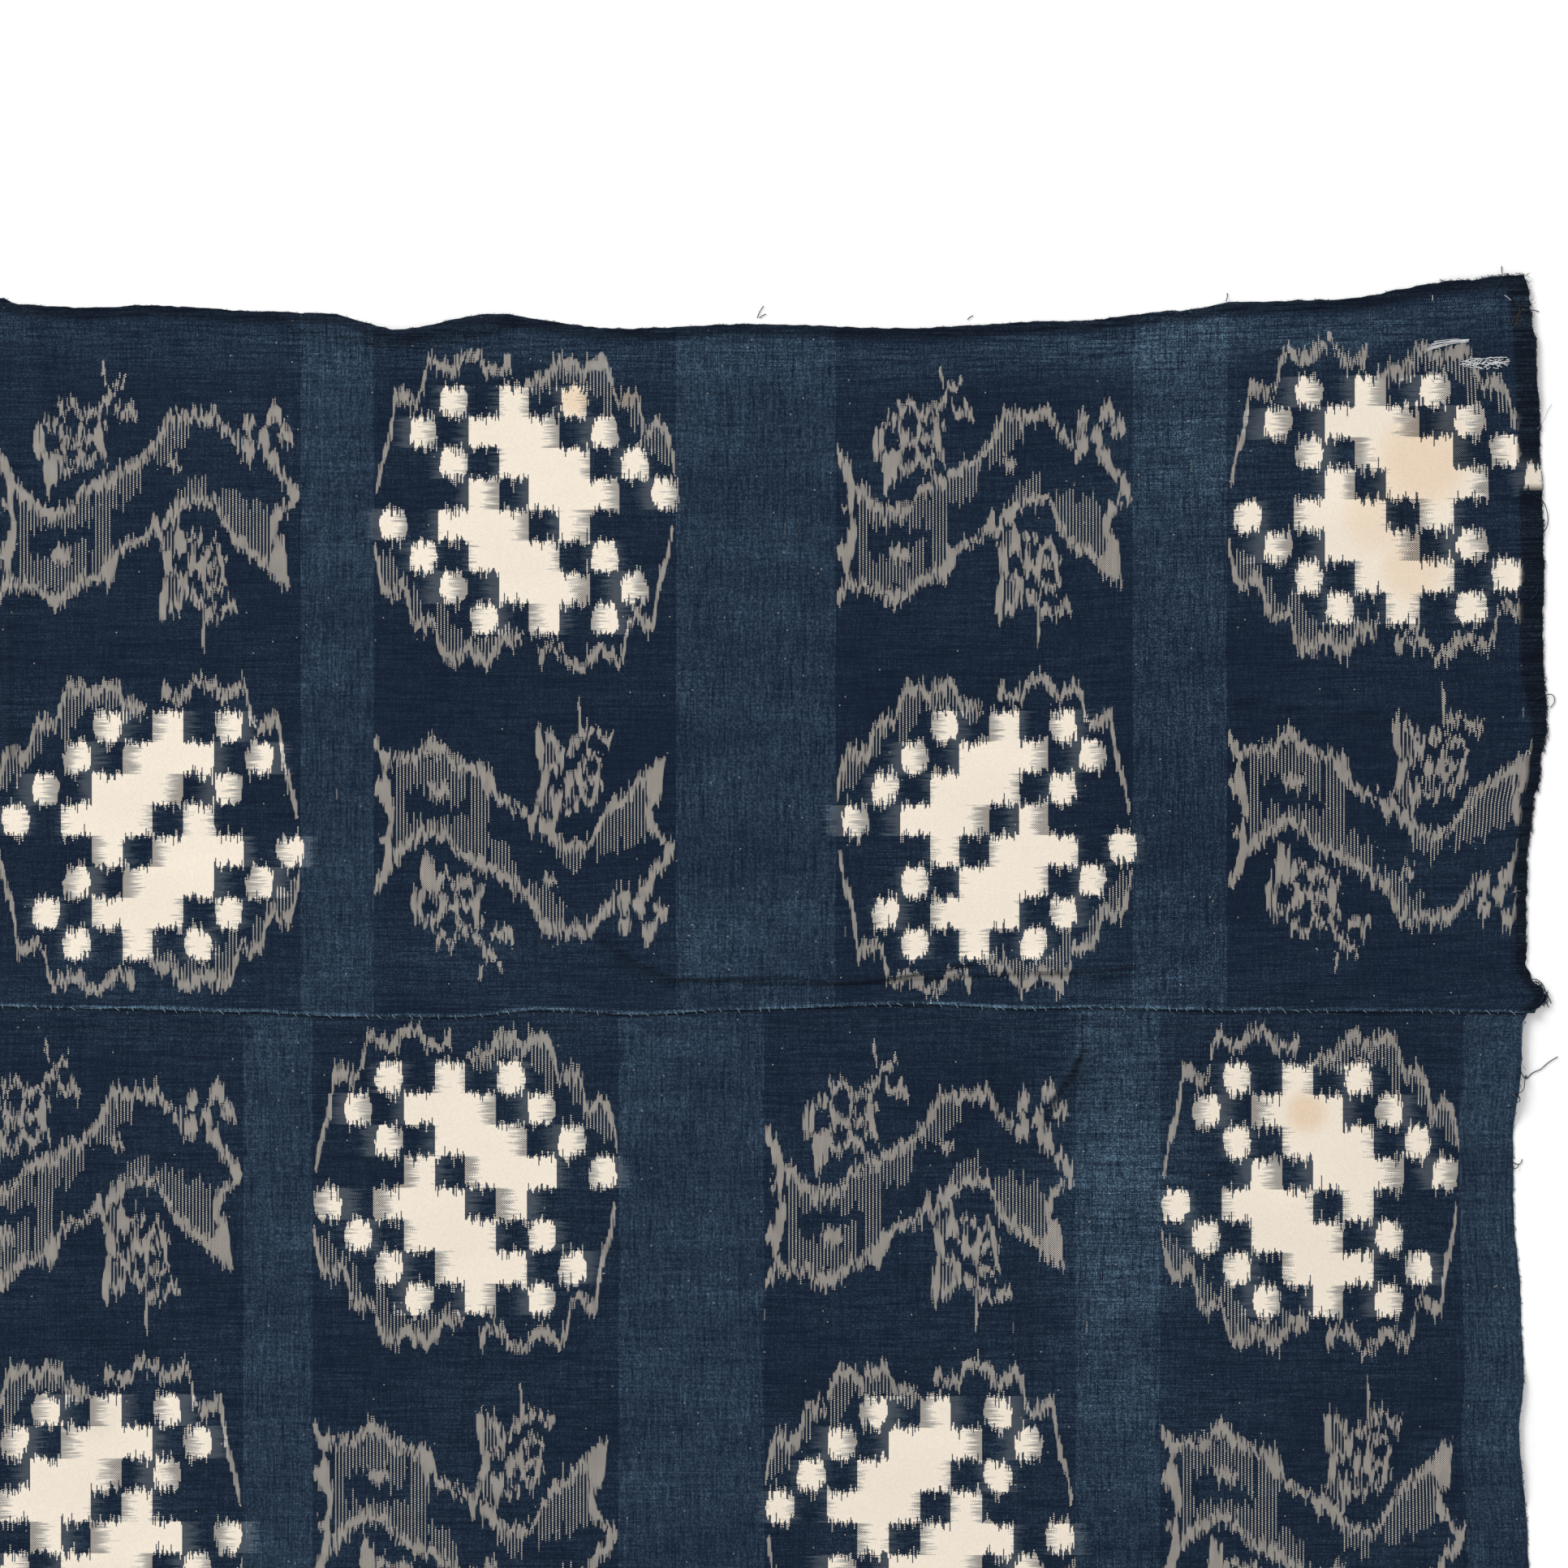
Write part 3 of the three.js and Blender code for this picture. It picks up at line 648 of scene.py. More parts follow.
def lattice_chart():
    """A node group that reads LATTICE: 2 for a full white cell, 1 for a rounded dot, 0 for indigo.

    Each row is one number in base 3. Rows of the lower half are the upper ones turned by half a turn."""
    group = bpy.data.node_groups.new("lattice_chart", "ShaderNodeTree")
    for name, direction in (("Column", "INPUT"), ("Row", "INPUT"), ("Kind", "OUTPUT")):
        group.interface.new_socket(name, in_out=direction, socket_type="NodeSocketFloat")
    given_column, given_row = group.nodes.new("NodeGroupInput").outputs[:2]
    last_row, last_column = 2 * len(LATTICE) - 1, len(LATTICE[0]) - 1
    lower = add(group, "Math GREATER_THAN", given_row, len(LATTICE) - 0.5)
    row = add(group, "Mix", lower, None, given_row, add(group, "Math SUBTRACT", last_row, given_row))
    column = add(group, "Math SUBTRACT", last_column, given_column)
    column = add(group, "Mix", lower, None, given_column, column)
    code = 0.0
    for i, cells in enumerate(LATTICE):
        number = sum(".oW".index(cell) * 3 ** place for place, cell in enumerate(cells))
        here = add(group, "Math COMPARE", row, i, 0.5)
        code = add(group, "Math MULTIPLY_ADD", here, number, code)
    power = add(group, "Math POWER", 3.0, column)
    shifted = add(group, "Math DIVIDE", add(group, "Math ADD", code, 0.5), power)
    digit = add(group, "Math MODULO", add(group, "Math FLOOR", shifted), 3.0)
    on_columns = add(group, "Math COMPARE", column, last_column / 2, (last_column + 1) / 2)
    on_rows = add(group, "Math COMPARE", given_row, last_row / 2, (last_row + 1) / 2)
    kind = add(group, "Math MULTIPLY", digit, add(group, "Math MULTIPLY", on_columns, on_rows))
    group.links.new(kind, group.nodes.new("NodeGroupOutput").inputs[0])
    return group


# Hand-spun indigo cotton in plain weave, warp and weft ikat: matte, with a faint bloom of fibre. The eye
# sees single threads, white ones with ragged ends, grey where white crosses indigo, and slubs and fading.
DEEP_INDIGO = "#0A1628"
WORN_INDIGO = "#5E7A90"
UNDYED_CREAM = "#E6DBCB"
SEEPED_WARP = "#7F97A8"
PEACH_STAIN = "#F6E6D5"
# How worn the dye is: in the columns' weft, what the bands between them add, in the warp, and where faded.
COLUMN_WEAR = 0.045
BAND_WEAR = 0.190
WARP_WEAR = 0.0485
FADING_WEAR = 0.098
# How far the tied yarns slip and the dye seeps before they are woven in, in millimetres.
BUNDLE_SLIPS = 3.0
THREAD_SLIPS = 3.2
THREAD_STRAYS = 70.0
THREAD_WAVERS = 9.0
WARP_ROW_SLIPS = 13.0
WARP_END_SEEPS = 14.0
WARP_BLUR = (-2.4, -0.8, 0.8, 2.4)
# How long the slubs and the clouds of fading are, in millimetres.
WEFT_SLUB = 14
WARP_SLUB = 26
CLOUDS = (90, 35)
# The height of a crossing over the gaps beside it, in metres.
CROSSING_RELIEF = 0.0003
chart_group = lattice_chart()


def thread_noise(tree, thread, spread, along, length, seed, detail=0.0):
    """Noise from 0 to 1, of its own on each thread and drawn out along it by a length in millimetres."""
    at = add(tree, "CombineXYZ", add(tree, "Math MULTIPLY", thread, spread),
             add(tree, "Math MULTIPLY", along, 1 / length), seed)
    return add(tree, "TexNoise", at, None, 1.0, detail)


def ikat_cotton(name, seed, lattice_start):
    """The cotton of one width; lattice_start is where its lattice begins in the column, in millimetres."""
    material, tree, shader = finish_of(name, 0.95)
    shader.inputs["Specular IOR Level"].default_value = 0.05
    shader.inputs["Sheen Weight"].default_value = 0.04
    shader.inputs["Sheen Roughness"].default_value = 0.6

    # Which warp and which weft thread passes here, and where across each thread.
    place = add(tree, "Attribute", out=1, attribute_name="weave")
    warpwise, weftwise, _ = add(tree, "SeparateXYZ", place).node.outputs
    weft_count = add(tree, "Math DIVIDE", warpwise, WEFT_PITCH)
    warp_count = add(tree, "Math DIVIDE", weftwise, WARP_PITCH)
    weft = add(tree, "Math FLOOR", weft_count)
    warp = add(tree, "Math FLOOR", warp_count)
    weft_place = add(tree, "Math MULTIPLY", add(tree, "Math ADD", weft, 0.5), WEFT_PITCH)
    warp_place = add(tree, "Math MULTIPLY", add(tree, "Math ADD", warp, 0.5), WARP_PITCH)

    # Which column of figures: the first has its scroll above, and the second is the same figure upside down.
    shifted = add(tree, "Math ADD", weft_place, HALF_WIDE_BAND)
    within = add(tree, "Math FLOORED_MODULO", shifted, REPEAT)
    within = add(tree, "Math SUBTRACT", within, HALF_WIDE_BAND)
    second = add(tree, "Math GREATER_THAN", within, (COLUMN_WIDTH + SECOND_COLUMN) / 2)
    across_mm = add(tree, "Math MULTIPLY_ADD", second, -SECOND_COLUMN, within)
    across = add(tree, "Math DIVIDE", across_mm, COLUMN_WIDTH)
    way_up = add(tree, "Math MULTIPLY_ADD", second, 2.0, -1.0)
    repeat_number = add(tree, "Math FLOOR", add(tree, "Math DIVIDE", shifted, REPEAT))
    column_number = add(tree, "Math MULTIPLY_ADD", repeat_number, 2.0, second)

    # Each weft thread lies a little off its place, bundles of threads together and single ones alone.
    wavers = add(tree, "Math ADD", thread_noise(tree, weft, 3.7, weftwise, 7, seed), -0.5)
    bundle_at = add(tree, "Math MULTIPLY_ADD", weft, 0.21, seed)
    bundle = add(tree, "TexNoise", None, bundle_at, 1.0, 0.0, noise_dimensions="1D")
    lone = add(tree, "Math ADD", add(tree, "TexWhiteNoise", None, weft, noise_dimensions="1D"), -0.5)
    off = add(tree, "Math MULTIPLY", wavers, THREAD_WAVERS)
    off = add(tree, "Math MULTIPLY_ADD", add(tree, "Math ADD", bundle, -0.5), BUNDLE_SLIPS, off)
    off = add(tree, "Math MULTIPLY_ADD", lone, THREAD_SLIPS, off)
    off = add(tree, "Math MULTIPLY_ADD", add(tree, "Math POWER", lone, 5.0), THREAD_STRAYS, off)
    up_here = add(tree, "Math MULTIPLY_ADD", weftwise, way_up, off)

    # White in the weft: the lattice's cells and rounded dots, its outline and hatching, and the scroll.
    row_place = add(tree, "Math DIVIDE", add(tree, "Math SUBTRACT", LATTICE_TOP, up_here), LATTICE_CELL)
    row = add(tree, "Math FLOOR", row_place)
    column_place = add(tree, "Math SUBTRACT", across_mm, lattice_start)
    column_place = add(tree, "Math DIVIDE", column_place, LATTICE_COLUMN)
    kind = add(tree, "Group", add(tree, "Math FLOOR", column_place), row, node_tree=chart_group)
    cell = add(tree, "Math GREATER_THAN", kind, 1.5)
    roundness = []
    for number, stretch in ((row_place, 1.82), (column_place, 2.15)):
        away = add(tree, "Math SUBTRACT", add(tree, "Math FRACT", number), 0.5)
        away = add(tree, "Math MULTIPLY", add(tree, "Math ABSOLUTE", away), stretch)
        roundness.append(add(tree, "Math POWER", away, 2.1))
    in_round = add(tree, "Math LESS_THAN", add(tree, "Math ADD", *roundness), 1.0)
    dot = add(tree, "Math MULTIPLY", add(tree, "Math GREATER_THAN", kind, 0.5), in_round)
    cells = add(tree, "Math MAXIMUM", cell, dot)

    lattice_middle = LATTICE_TOP - LATTICE_CELL * len(LATTICE)
    lower_half = add(tree, "Math LESS_THAN", up_here, lattice_middle)
    turned_across = add(tree, "Mix", lower_half, None, across, add(tree, "Math SUBTRACT", 1.0, across))
    turned_up = add(tree, "Math SUBTRACT", 2 * lattice_middle, up_here)
    turned_up = add(tree, "Mix", lower_half, None, up_here, turned_up)
    scroll_up = add(tree, "Math MULTIPLY", up_here, -1.0)
    strokes = add(tree, "Math MAXIMUM", depth_in_runs(tree, turned_across, turned_up, OUTLINE),
                  depth_in_runs(tree, across, scroll_up, SCROLL))
    hatching = add(tree, "Math MAXIMUM", depth_in_runs(tree, turned_across, turned_up, OUTLINE_HATCH),
                   depth_in_runs(tree, across, scroll_up, SCROLL_HATCH))
    third_thread = add(tree, "Math COMPARE", add(tree, "Math FLOORED_MODULO", weft, 3.0), 0.0, 0.5)
    stronger = add(tree, "MapRange", third_thread, 0.0, 1.0, 0.85, 1.25)
    strokes = add(tree, "Math MULTIPLY", add(tree, "MapRange", strokes, 0.3, 1.1, 0.0, 1.0), stronger)
    hatching = add(tree, "MapRange", hatching, 0.1, 1.0, 0.0, 1.0)
    hatching = add(tree, "Math MULTIPLY", hatching, third_thread)
    drawn = add(tree, "MapRange", thread_noise(tree, weft, 2.9, weftwise, 9, seed + 3), 0.3, 0.7, 0.72, 1.2)
    drawn = add(tree, "Math MULTIPLY", drawn, add(tree, "Math MAXIMUM", strokes, hatching), use_clamp=True)
    figure = add(tree, "Math MAXIMUM", drawn, cells)

    # A few short stray white stretches, where the dye missed a thread.
    stretch = add(tree, "Math FLOOR", add(tree, "Math MULTIPLY", weftwise, 1 / 5.5))
    missed = add(tree, "TexWhiteNoise", add(tree, "CombineXYZ", weft, stretch, seed))
    missed = add(tree, "MapRange", missed, 0.9998, 1.0, 0.0, 0.6)
    weft_white = add(tree, "Math MAXIMUM", figure, missed)

    # White in the warp: the same cells, in straight rows, but slid sideways row by row, with seeping ends.
    warp_up = add(tree, "Math MULTIPLY", warp_place, way_up)
    warp_row = add(tree, "Math DIVIDE", add(tree, "Math SUBTRACT", LATTICE_TOP, warp_up), LATTICE_CELL)
    warp_row = add(tree, "Math FLOOR", warp_row)
    slid = add(tree, "TexWhiteNoise", add(tree, "CombineXYZ", column_number, warp_row, seed + 0.5))
    slid = add(tree, "Math MULTIPLY", add(tree, "Math ADD", slid, -0.5), WARP_ROW_SLIPS)
    seeps = add(tree, "Math ADD", thread_noise(tree, warp, 3.3, warpwise, 9, seed + 6), -0.5)
    slid = add(tree, "Math MULTIPLY_ADD", seeps, WARP_END_SEEPS, slid)
    exact = add(tree, "Math ADD", add(tree, "Math SUBTRACT", warpwise, weft_place), across_mm)
    warp_across = add(tree, "Math SUBTRACT", add(tree, "Math ADD", exact, slid), lattice_start)
    warp_white = 0.0
    for reach in WARP_BLUR:
        column = add(tree, "Math DIVIDE", add(tree, "Math ADD", warp_across, reach), LATTICE_COLUMN)
        kind = add(tree, "Group", add(tree, "Math FLOOR", column), warp_row, node_tree=chart_group)
        tied = add(tree, "Math GREATER_THAN", kind, 0.5)
        warp_white = add(tree, "Math MULTIPLY_ADD", tied, 1 / len(WARP_BLUR), warp_white)

    # The dye: deep indigo worn towards a greyish blue, more so in the paler weft of the bands, along the
    # folds and in soft clouds drawn out along the warp. Each thread and each crossing has its own strength.
    band_low = add(tree, "Math LESS_THAN", across_mm, 0.0)
    band_high = add(tree, "Math GREATER_THAN", across_mm, COLUMN_WIDTH)
    band = add(tree, "Math MAXIMUM", band_low, band_high)
    wear_and_painted_shade = add(tree, "Attribute", attribute_name="wear_and_painted_shade")
    painted_shade_and_dark_hems, faded, stained = add(tree, "SeparateXYZ", wear_and_painted_shade).node.outputs
    cloud_at = add(tree, "VectorMath MULTIPLY", place, (1 / CLOUDS[0], 1 / CLOUDS[1], 1.0))
    cloud = add(tree, "TexNoise", cloud_at, None, 1.0, 3.0)
    paler = add(tree, "Math MULTIPLY", faded, FADING_WEAR)
    speckle = add(tree, "TexWhiteNoise", add(tree, "CombineXYZ", weft, warp, seed))
    lint = add(tree, "Math GREATER_THAN", speckle, 0.9997)
    uneven = add(tree, "MapRange", add(tree, "Math POWER", speckle, 1.8), 0.0, 1.0, 0.35, 2.1)
    uneven = add(tree, "Math MULTIPLY", uneven, add(tree, "MapRange", cloud, 0.3, 0.7, 0.6, 1.4))
    weft_wear = add(tree, "Math MULTIPLY_ADD", band, BAND_WEAR, COLUMN_WEAR)
    dyes = []
    for thread, along, slub, share, low, high in (
        (weft, weftwise, WEFT_SLUB, weft_wear, -0.3, 2.3),
        (warp, warpwise, WARP_SLUB, WARP_WEAR, -1.9, 4.4),
    ):
        tone = thread_noise(tree, thread, 5.3, along, slub, seed + low, detail=3.0)
        tone = add(tree, "MapRange", tone, 0.25, 0.75, low, high)
        share = add(tree, "Math MULTIPLY", add(tree, "Math ADD", share, paler), tone)
        share = add(tree, "Math MULTIPLY", share, uneven, use_clamp=True)
        dyes.append(add(tree, "MixRGB", share, linear(DEEP_INDIGO), linear(WORN_INDIGO)))
    weft_dye, warp_dye = dyes
    fibre = add(tree, "MapRange", speckle, 0.0, 1.0, 0.93, 1.02)
    fibre = add(tree, "Math MULTIPLY", fibre, add(tree, "MapRange", cloud, 0.3, 0.7, 0.97, 1.03))
    cream = add(tree, "VectorMath SCALE", linear(UNDYED_CREAM)[:3], None, None, fibre)
    weft_colour = add(tree, "MixRGB", weft_white, weft_dye, cream)
    # White warp under indigo weft hardly shows: the dye has seeped along it.
    seeped = add(tree, "Math MULTIPLY", warp_white, add(tree, "MapRange", weft_white, 0.0, 1.0, 0.35, 1.0))
    tied_warp = add(tree, "MixRGB", seeped, linear(SEEPED_WARP), cream)
    warp_colour = add(tree, "MixRGB", seeped, warp_dye, tied_warp)

    # Plain weave: the weft is on top at every other crossing and peeps out beside the warp at the rest.
    # Between the threads the darker of the two shows through.
    crossing = add(tree, "Math FLOORED_MODULO", add(tree, "Math ADD", weft, warp), 2.0)
    on_top = add(tree, "MapRange", crossing, 0.0, 1.0, 0.02, 1.0)
    woven = add(tree, "MixRGB", on_top, warp_colour, weft_colour)
    between = add(tree, "MixRGB", 1.0, warp_colour, weft_colour, blend_type="DARKEN")
    woven = add(tree, "MixRGB", 0.28, woven, between)
    woven = add(tree, "MixRGB", add(tree, "Math MULTIPLY", lint, 0.4), woven, cream)
    # The top hem and the rolled end are drawn darker, and the creases and the seam's lower fold get painted
    # shade.
    shade_and_hem_tone = add(tree, "MapRange", painted_shade_and_dark_hems, 1.0, 2.0, 0.42, 0.12)
    shade_and_hem_colour = add(tree, "VectorMath SCALE", warp_dye, None, None, shade_and_hem_tone)
    woven = add(tree, "MixRGB", painted_shade_and_dark_hems, woven, shade_and_hem_colour)
    stain = add(tree, "MixRGB", stained, (1.0, 1.0, 1.0, 1.0), linear(PEACH_STAIN))
    tree.links.new(add(tree, "VectorMath MULTIPLY", woven, stain), shader.inputs["Base Color"])

    # Each crossing is a small pillow, which the light picks out.
    pillows = [add(tree, "Math PINGPONG", count, 0.5) for count in (weft_count, warp_count)]
    relief = add(tree, "Math MULTIPLY", *pillows)
    tree.links.new(add(tree, "Bump", 0.5, CROSSING_RELIEF, 0.1, relief), shader.inputs["Normal"])
    return material


# Where the cloth lies, as (x, place along the warp in millimetres) at the edges of the figures' columns.
UPPER_WARP_PLACES = [
    (-0.5065, -258), (-0.4716, -220), (-0.3273, -76), (-0.2505, 0), (-0.1050, 144), (-0.0700, 182),
    (0.0743, 326), (0.1511, 402), (0.2927, 546), (0.3381, 584), (0.4848, 728), (0.5600, 804),
]
LOWER_WARP_PLACES = [
    (-0.5200, -250), (-0.4865, -220), (-0.3430, -76), (-0.2776, 0), (-0.1321, 144), (-0.0991, 182),
    (0.0471, 326), (0.1170, 402), (0.2656, 546), (0.3063, 584), (0.4518, 728), (0.5217, 804),
]
UPPER_MIDDLE = [
    (-0.4906, 0.1515), (-0.18, 0.1515), (0.0, 0.1508), (0.22, 0.1515), (0.42, 0.1560), (0.4906, 0.1575),
]
LOWER_MIDDLE = [(-0.4906, -0.1750), (0.0, -0.1748), (0.20, -0.1758), (0.4906, -0.1755)]
# The sheet is close-meshed where it turns over, and at the curved crease below the seam.
COLUMNS = stations(0.0, (0.746, 0.0033), (0.763, 0.0012), (LENGTH - 0.012, 0.0033),
                   (LENGTH - 0.0012, 0.0016), (LENGTH + 0.0012, 0.0003), (LENGTH + END_HEM, 0.002))
UPPER_ROWS = stations(-SEAM_ALLOWANCE, (-0.0012, 0.0016), (0.0012, 0.0003), (0.040, 0.0009), (0.316, 0.0036),
                      (0.3288, 0.0016), (0.3312, 0.0003), (LOOM_WIDTH + TOP_HEM, 0.002))
LOWER_ROWS = stations(0.0, (0.290, 0.0034), (0.3288, 0.0015), (0.3312, 0.0003),
                      (LOOM_WIDTH + SEAM_ALLOWANCE, 0.0016))

upper, upper_cloth = loom_width(
    "upper_loom_width_cotton", lambda x: seam_at(x) + SEAM_GAP / 2,
    lambda x: SEAM_Y + LOOM_WIDTH + eased(TOP_EDGE, x), UPPER_RIGHT_END, UPPER_ROWS, COLUMNS,
    (SEAM_ALLOWANCE, TOP_HEM, END_HEM), (UPPER_WARP_PLACES, UPPER_MIDDLE, 1.0))
lower, lower_cloth = loom_width(
    "lower_loom_width_cotton", lambda x: SEAM_Y - LOOM_WIDTH + eased(BOTTOM_EDGE, x),
    lambda x: seam_at(x) - SEAM_GAP / 2, LOWER_RIGHT_END, LOWER_ROWS, COLUMNS[COLUMNS <= LENGTH],
    (0, SEAM_ALLOWANCE, 0), (LOWER_WARP_PLACES, LOWER_MIDDLE, 0.98))

for sheet, side, seed, lattice_start, cut_length, cut_width in (
    (upper, "upper", 2.0, 2.2, LENGTH + END_HEM, LOOM_WIDTH + SEAM_ALLOWANCE + TOP_HEM),
    (lower, "lower", 5.0, 0.0, LENGTH, LOOM_WIDTH + SEAM_ALLOWANCE),
):
    bpy.ops.object.select_all(action="DESELECT")
    bpy.context.view_layer.objects.active = sheet
    sheet.select_set(True)
    solidify = sheet.modifiers.new("thickness", "SOLIDIFY")
    solidify.thickness = CLOTH_THICKNESS
    solidify.offset = 0
    bpy.ops.object.modifier_apply(modifier="thickness")
    bpy.ops.object.shade_smooth_by_angle(angle=math.radians(50))
    sheet.data.materials.append(ikat_cotton(f"indigo_ikat_cotton_{side}", seed, lattice_start))
    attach(sheet, "root")
    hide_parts(f"{side}_loom_width")


# The seam: the two widths' folded selvedges are whipped together by hand with a pale blue cotton thread, one
# slanting stitch every 3 to 9 mm. The thread is two-ply, so its surface runs in short slanting ridges.
YARN_PLY = 0.0004
PLY_RELIEF = 0.0001


def spun_cotton(name, colour, painted_groove_shade):
    """Cotton yarn: two plies whose depth changes along the twist, with painted shade in the grooves between
    them.
    """
    material, tree, shader = finish_of(name, 0.9)
    spot = add(tree, "TexCoord", out=3)
    twist = add(tree, "TexNoise", spot, None, 1 / YARN_PLY, 2.0)
    # Painted shade: the low parts of the twist take the darker colour.
    painted_ply_light = add(tree, "MapRange", twist, 0.3, 0.7, 0.0, 1.0)
    tint = add(tree, "MixRGB", painted_ply_light, linear(painted_groove_shade), linear(colour))
    tree.links.new(tint, shader.inputs["Base Color"])
    tree.links.new(add(tree, "Bump", 0.6, PLY_RELIEF, 0.1, twist), shader.inputs["Normal"])
    return material


def cloth_top(x, y, near_by=0.0022):
    """The height of the cloth's upper face near a point, or 0 beside the cloth."""
    highest = 0.0
    for cloth in (upper_cloth, lower_cloth):
        near = cloth[np.hypot(cloth[:, 0] - x, cloth[:, 1] - y) < near_by]
        if len(near):
            highest = max(highest, near[:, 2].max() + CLOTH_THICKNESS / 2)
    return highest


def threads(name, lines, thickness, material):
    """Short lengths of yarn as one piece: each line is a list of points, rounded between them."""
    bpy.ops.object.select_all(action="DESELECT")
    bpy.ops.curve.primitive_nurbs_path_add(location=(0, 0, 0))
    piece = bpy.context.object
    piece.name = name
    curve = piece.data
    curve.splines.clear()
    curve.dimensions = "3D"
    curve.bevel_depth = thickness / 2
    curve.bevel_resolution = 0
    curve.use_fill_caps = True
    for line in lines:
        spline = curve.splines.new("NURBS")
        spline.points.add(len(line) - 1)
        for point, place in zip(spline.points, line):
            point.co = (*place, 1.0)
        spline.order_u = 3
        spline.use_endpoint_u = True
        spline.resolution_u = 2
    bpy.ops.object.convert(target="MESH")
    piece = bpy.context.object
    piece.data.name = name
    bpy.ops.object.shade_smooth()
    piece.data.materials.append(material)
    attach(piece, "root")


STITCH_EVERY = 0.0054
STITCH_LENGTH = 0.0024
SEWING_THREAD = 0.0003
# The middle of a yarn lies no lower than this over the floor.
LOWEST = 0.0002
chance = random.Random(7)
stitches = []
stitch_x = LEFT_X + 0.004
while stitch_x < RIGHT_X - 0.002:
    slant = chance.uniform(0.2, 1.3) * STITCH_LENGTH / 2
    reach = chance.uniform(0.45, 1.15) * STITCH_LENGTH / 2
    stitch_y = float(seam_at(np.array(stitch_x)))
    over = cloth_top(stitch_x, stitch_y)
    # Towards the right end most stitches have sunk into the cloth.
    sunk_share = 0.75 if stitch_x > 0.38 else 0.25
    sunk = 0.0005 if chance.random() < sunk_share else 0.0
    in_cloth = max(LOWEST, over - 0.0004 - sunk)
    arch = [(-1.0, in_cloth), (-0.8, over + 0.0002 - sunk), (0.0, over + 0.0003 - sunk),
            (0.8, over + 0.0002 - sunk), (1.0, in_cloth)]
    stitches.append([(stitch_x + slant * share, stitch_y - reach * share, z) for share, z in arch])
    stitch_x += STITCH_EVERY * chance.uniform(0.6, 1.6)
sewing = spun_cotton("pale_blue_cotton_sewing_thread", "#98ADB9", "#5E7A8C")
threads("seam_whip_stitches", stitches, SEWING_THREAD, sewing)

# Loose ends: where the cloth is worn through at its edges, dark yarns stand out as short tails and loops,
# and one of them is knotted. They lie on the floor or just over it, each held where it leaves the cloth.
# The size of a pixel of the photo on the cloth, and the pixel at the scene's origin.
PIXEL = 0.000388
PIXEL_ORIGIN = (640.5, 1218.5)


def from_photo(*pixels, height=0.0006):
    """Points above the floor, or above the cloth where it reaches, at places seen in the photo."""
    line = []
    for column, row in pixels:
        x = (column - PIXEL_ORIGIN[0]) * PIXEL
        y = (PIXEL_ORIGIN[1] - row) * PIXEL
        line.append((x, y, cloth_top(x, y) + height))
    return line


YARN = 0.00045
dark_yarn = spun_cotton("indigo_cotton_yarn", "#232E40", "#121A28")
threads("loose_yarn_ends", [
    from_photo((1836, 368), (1841, 357), (1846, 350), (1850, 341), (1850, 335), (1850, 328)),
    from_photo((1874, 386), (1882, 383), (1889, 382), (1896, 384)),
    from_photo((1890, 862), (1899, 859), (1907, 855), (1914, 856), (1916, 862), (1914, 868), (1910, 872)),
    from_photo((1880, 1211), (1886, 1206), (1893, 1206), (1900, 1212), (1903, 1221), (1905, 1231),
               (1899, 1238)),
    from_photo((1880, 1214), (1888, 1208), (1896, 1211), (1900, 1220), (1901, 1229), (1895, 1236)),
    from_photo((1884, 1212), (1893, 1212), (1902, 1219), (1907, 1229), (1911, 1236)),
    from_photo((1888, 1226), (1897, 1230), (1905, 1235), (1908, 1241)),
    from_photo((1872, 1252), (1880, 1247), (1888, 1243), (1895, 1240)),
    from_photo((1866, 1314), (1871, 1318), (1874, 1325), (1879, 1329), (1882, 1326), (1879, 1325),
               (1878, 1329), (1882, 1329), (1885, 1324), (1891, 1320), (1898, 1318), (1904, 1312),
               (1910, 1307), (1919, 1302)),
    from_photo((1879, 1328), (1876, 1332), (1876, 1338), (1874, 1343), (1869, 1346), (1864, 1346)),
    from_photo((1863, 1347), (1868, 1349), (1871, 1353), (1869, 1358), (1864, 1356)),
    from_photo((1860, 1429), (1865, 1433), (1871, 1435), (1875, 1432), (1875, 1428)),
    from_photo((1858, 1436), (1864, 1440), (1869, 1439), (1871, 1435)),
    from_photo((1888, 610), (1897, 614), (1903, 622), (1907, 634), (1907, 646), (1903, 655), (1894, 661)),
    from_photo((1884, 740), (1890, 735), (1894, 728), (1893, 722)),
    from_photo((933, 392), (935, 386), (938, 381), (941, 377)),
    from_photo((936, 392), (940, 388), (944, 387)),
    from_photo((1510, 372), (1513, 366), (1512, 361)),
    from_photo((1192, 394), (1195, 390), (1199, 389)),
], YARN, dark_yarn)
FINE_FIBRE = 0.0002
fine_yarn = spun_cotton("worn_grey_cotton_fibre", "#8C8F98", "#5A6070")
threads("fine_loose_fibres", [
    from_photo((1893, 529), (1899, 523), (1904, 514), (1906, 506), (1912, 498)),
    from_photo((1880, 1318), (1874, 1312), (1871, 1307)),
    from_photo((1862, 1100), (1868, 1096), (1873, 1098)),
], FINE_FIBRE, fine_yarn)


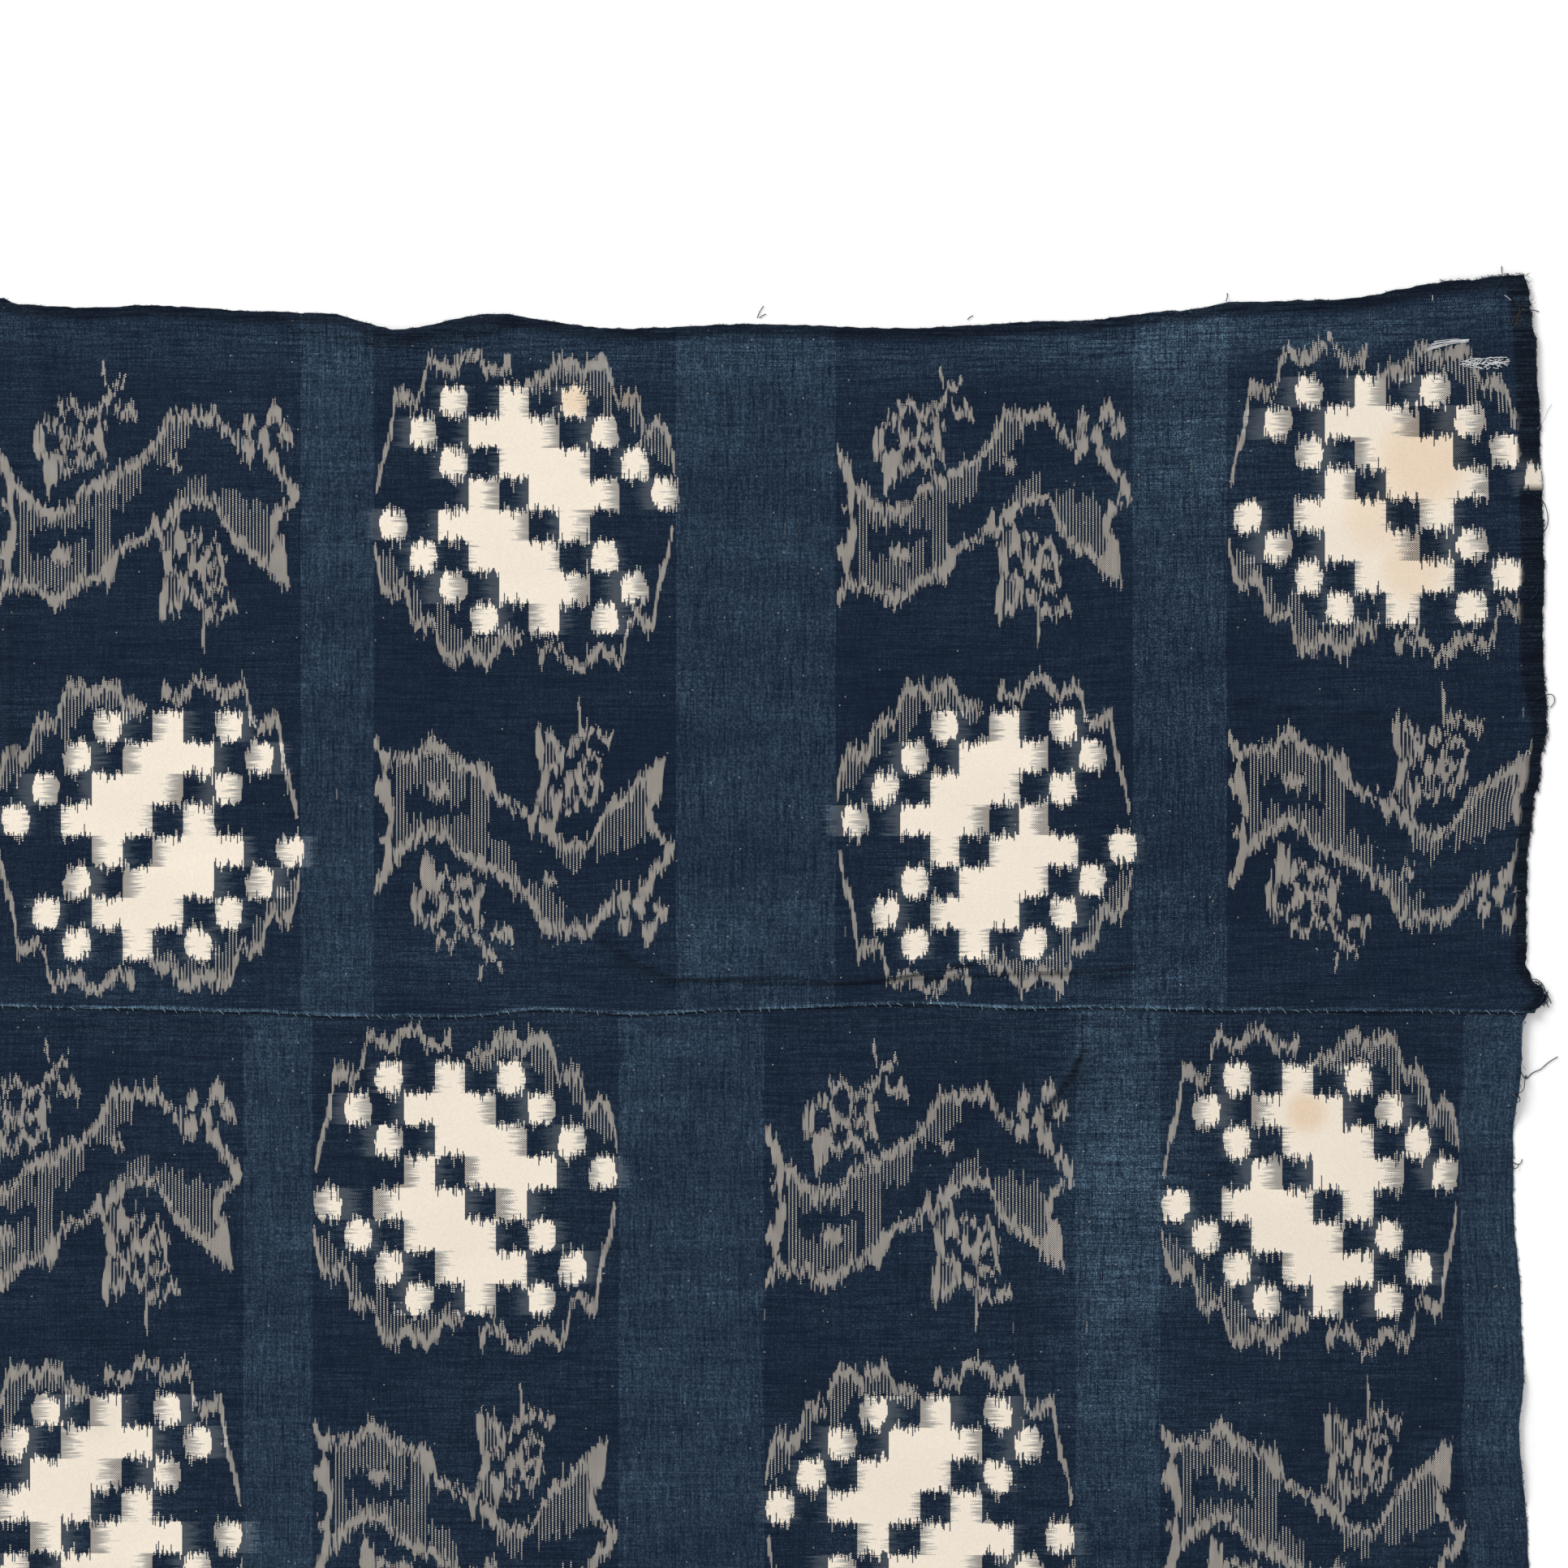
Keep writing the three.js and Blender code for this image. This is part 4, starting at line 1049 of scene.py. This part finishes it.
# Worn nap: short fibres rubbed out of the folds stand along the rolled end, the corner and the top hem.
# Each is a bent hair of the cloth's own indigo cotton, and lies at the height of the fold that it leaves.
def nap_along(cloth, edge, start, end, count, length):
    """Short bent fibres along an edge of a sheet; edge gives the edge's point and the way outwards."""
    hairs = []
    for _ in range(count):
        x, y, out_x, out_y = edge(cloth, chance.uniform(start, end))
        reach = length * chance.uniform(0.3, 1.0)
        lean = chance.uniform(-1.2, 1.2)
        curl = chance.uniform(-1.6, 1.6)
        across_x, across_y = -out_y, out_x
        over = cloth_top(x - out_x * 0.001, y - out_y * 0.001) - chance.uniform(0.0002, 0.0014)
        hair = []
        for share, sink in ((-0.5, 0.0), (0.15, 0.0), (0.6, 0.1), (1.0, 0.3)):
            side = lean * share + curl * share ** 2
            hair_x = x + reach * (out_x * share + across_x * side)
            hair_y = y + reach * (out_y * share + across_y * side)
            hair.append((hair_x, hair_y, max(LOWEST, max(2 * LOWEST, over) * (1 - sink))))
        hairs.append(hair)
    return hairs


def right_end_at(cloth, y):
    """The outermost point of a sheet's right end near a height, and the way outwards."""
    near = cloth[np.abs(cloth[:, 1] - y) < 0.002]
    return near[:, 0].max(), y, 1.0, 0.0


def top_at(cloth, x):
    """The outermost point of a sheet's top edge near a place along it, and the way outwards."""
    near = cloth[np.abs(cloth[:, 0] - x) < 0.002]
    return x, near[:, 1].max(), 0.0, 1.0


NAP = 0.00018
nap = nap_along(upper_cloth, right_end_at, 0.020, 0.335, 900, 0.0011)
nap += nap_along(upper_cloth, right_end_at, 0.060, 0.150, 260, 0.0016)
nap += nap_along(upper_cloth, right_end_at, -0.008, 0.004, 60, 0.0012)
nap += nap_along(lower_cloth, right_end_at, -0.336, -0.014, 220, 0.0010)
nap += nap_along(upper_cloth, top_at, -0.480, 0.486, 420, 0.0008)
nap += nap_along(upper_cloth, top_at, 0.440, 0.486, 120, 0.0014)
threads("worn_nap", nap, NAP, dark_yarn)

# The worn place by the corner: two slits where the indigo weft has broken, with the undyed fibre rubbed
# white. Long strands lie across the first slit, and tangled lint fills the second. A few more white fibres
# and two bits of straw are caught elsewhere.
SLIT_FIBRE = 0.0003
STRANDS = 8
LINT = 80
undyed = spun_cotton("undyed_cotton_fibre", "#F0F0EE", "#B4BAC4")
strands = []
for number in range(STRANDS):
    share = number / (STRANDS - 1)
    first = (1757 + 9 * share + chance.uniform(-2, 2), 432 - 11 * share)
    last = (1813 - chance.uniform(0, 12), 421.5 - 3.5 * share)
    third = ((2 * first[0] + last[0]) / 3, 427 - 7 * share + chance.uniform(-1.2, 1.2))
    two_thirds = ((first[0] + 2 * last[0]) / 3, 422.5 - 5 * share + chance.uniform(-1.2, 1.2))
    strands.append(from_photo(first, third, two_thirds, last, height=0.0003))
for _ in range(LINT):
    place = (chance.uniform(1806, 1852), chance.gauss(448, 2.6))
    turn = chance.choice((0.0, math.pi)) + chance.uniform(-0.5, 0.5)
    bend = []
    for _ in range(4):
        turn += chance.uniform(-0.8, 0.8)
        place = (place[0] + 2.6 * math.cos(turn), place[1] + 1.5 * math.sin(turn))
        bend.append(place)
    strands.append(from_photo(*bend, height=chance.uniform(0.0001, 0.0006)))
strands += [
    from_photo((1802, 452), (1806, 444), (1815, 441), (1828, 443), (1840, 440), (1856, 441),
               height=0.0004),
    from_photo((1879, 930), (1880, 919), (1885, 929), height=0.0004),
    from_photo((1764, 364), (1765, 368), (1764, 371), height=0.0004),
    from_photo((1852, 365), (1856, 367), (1860, 371), height=0.0004),
    from_photo((1, 686), (3, 688), (6, 689), height=0.0004),
    from_photo((1109, 1491), (1111, 1493), (1110, 1495), height=0.0004),
]
threads("worn_white_fibres", strands, SLIT_FIBRE, undyed)
STRAW = 0.0003
straw = spun_cotton("brown_straw_fibre", "#5A4632", "#33281E")
threads("caught_straw_fibres", [
    from_photo((1871, 379), (1870, 388), (1867, 395), (1866, 403), height=0.0003),
    from_photo((1875, 382), (1869, 389), (1863, 394), (1860, 401), height=0.0003),
], STRAW, straw)
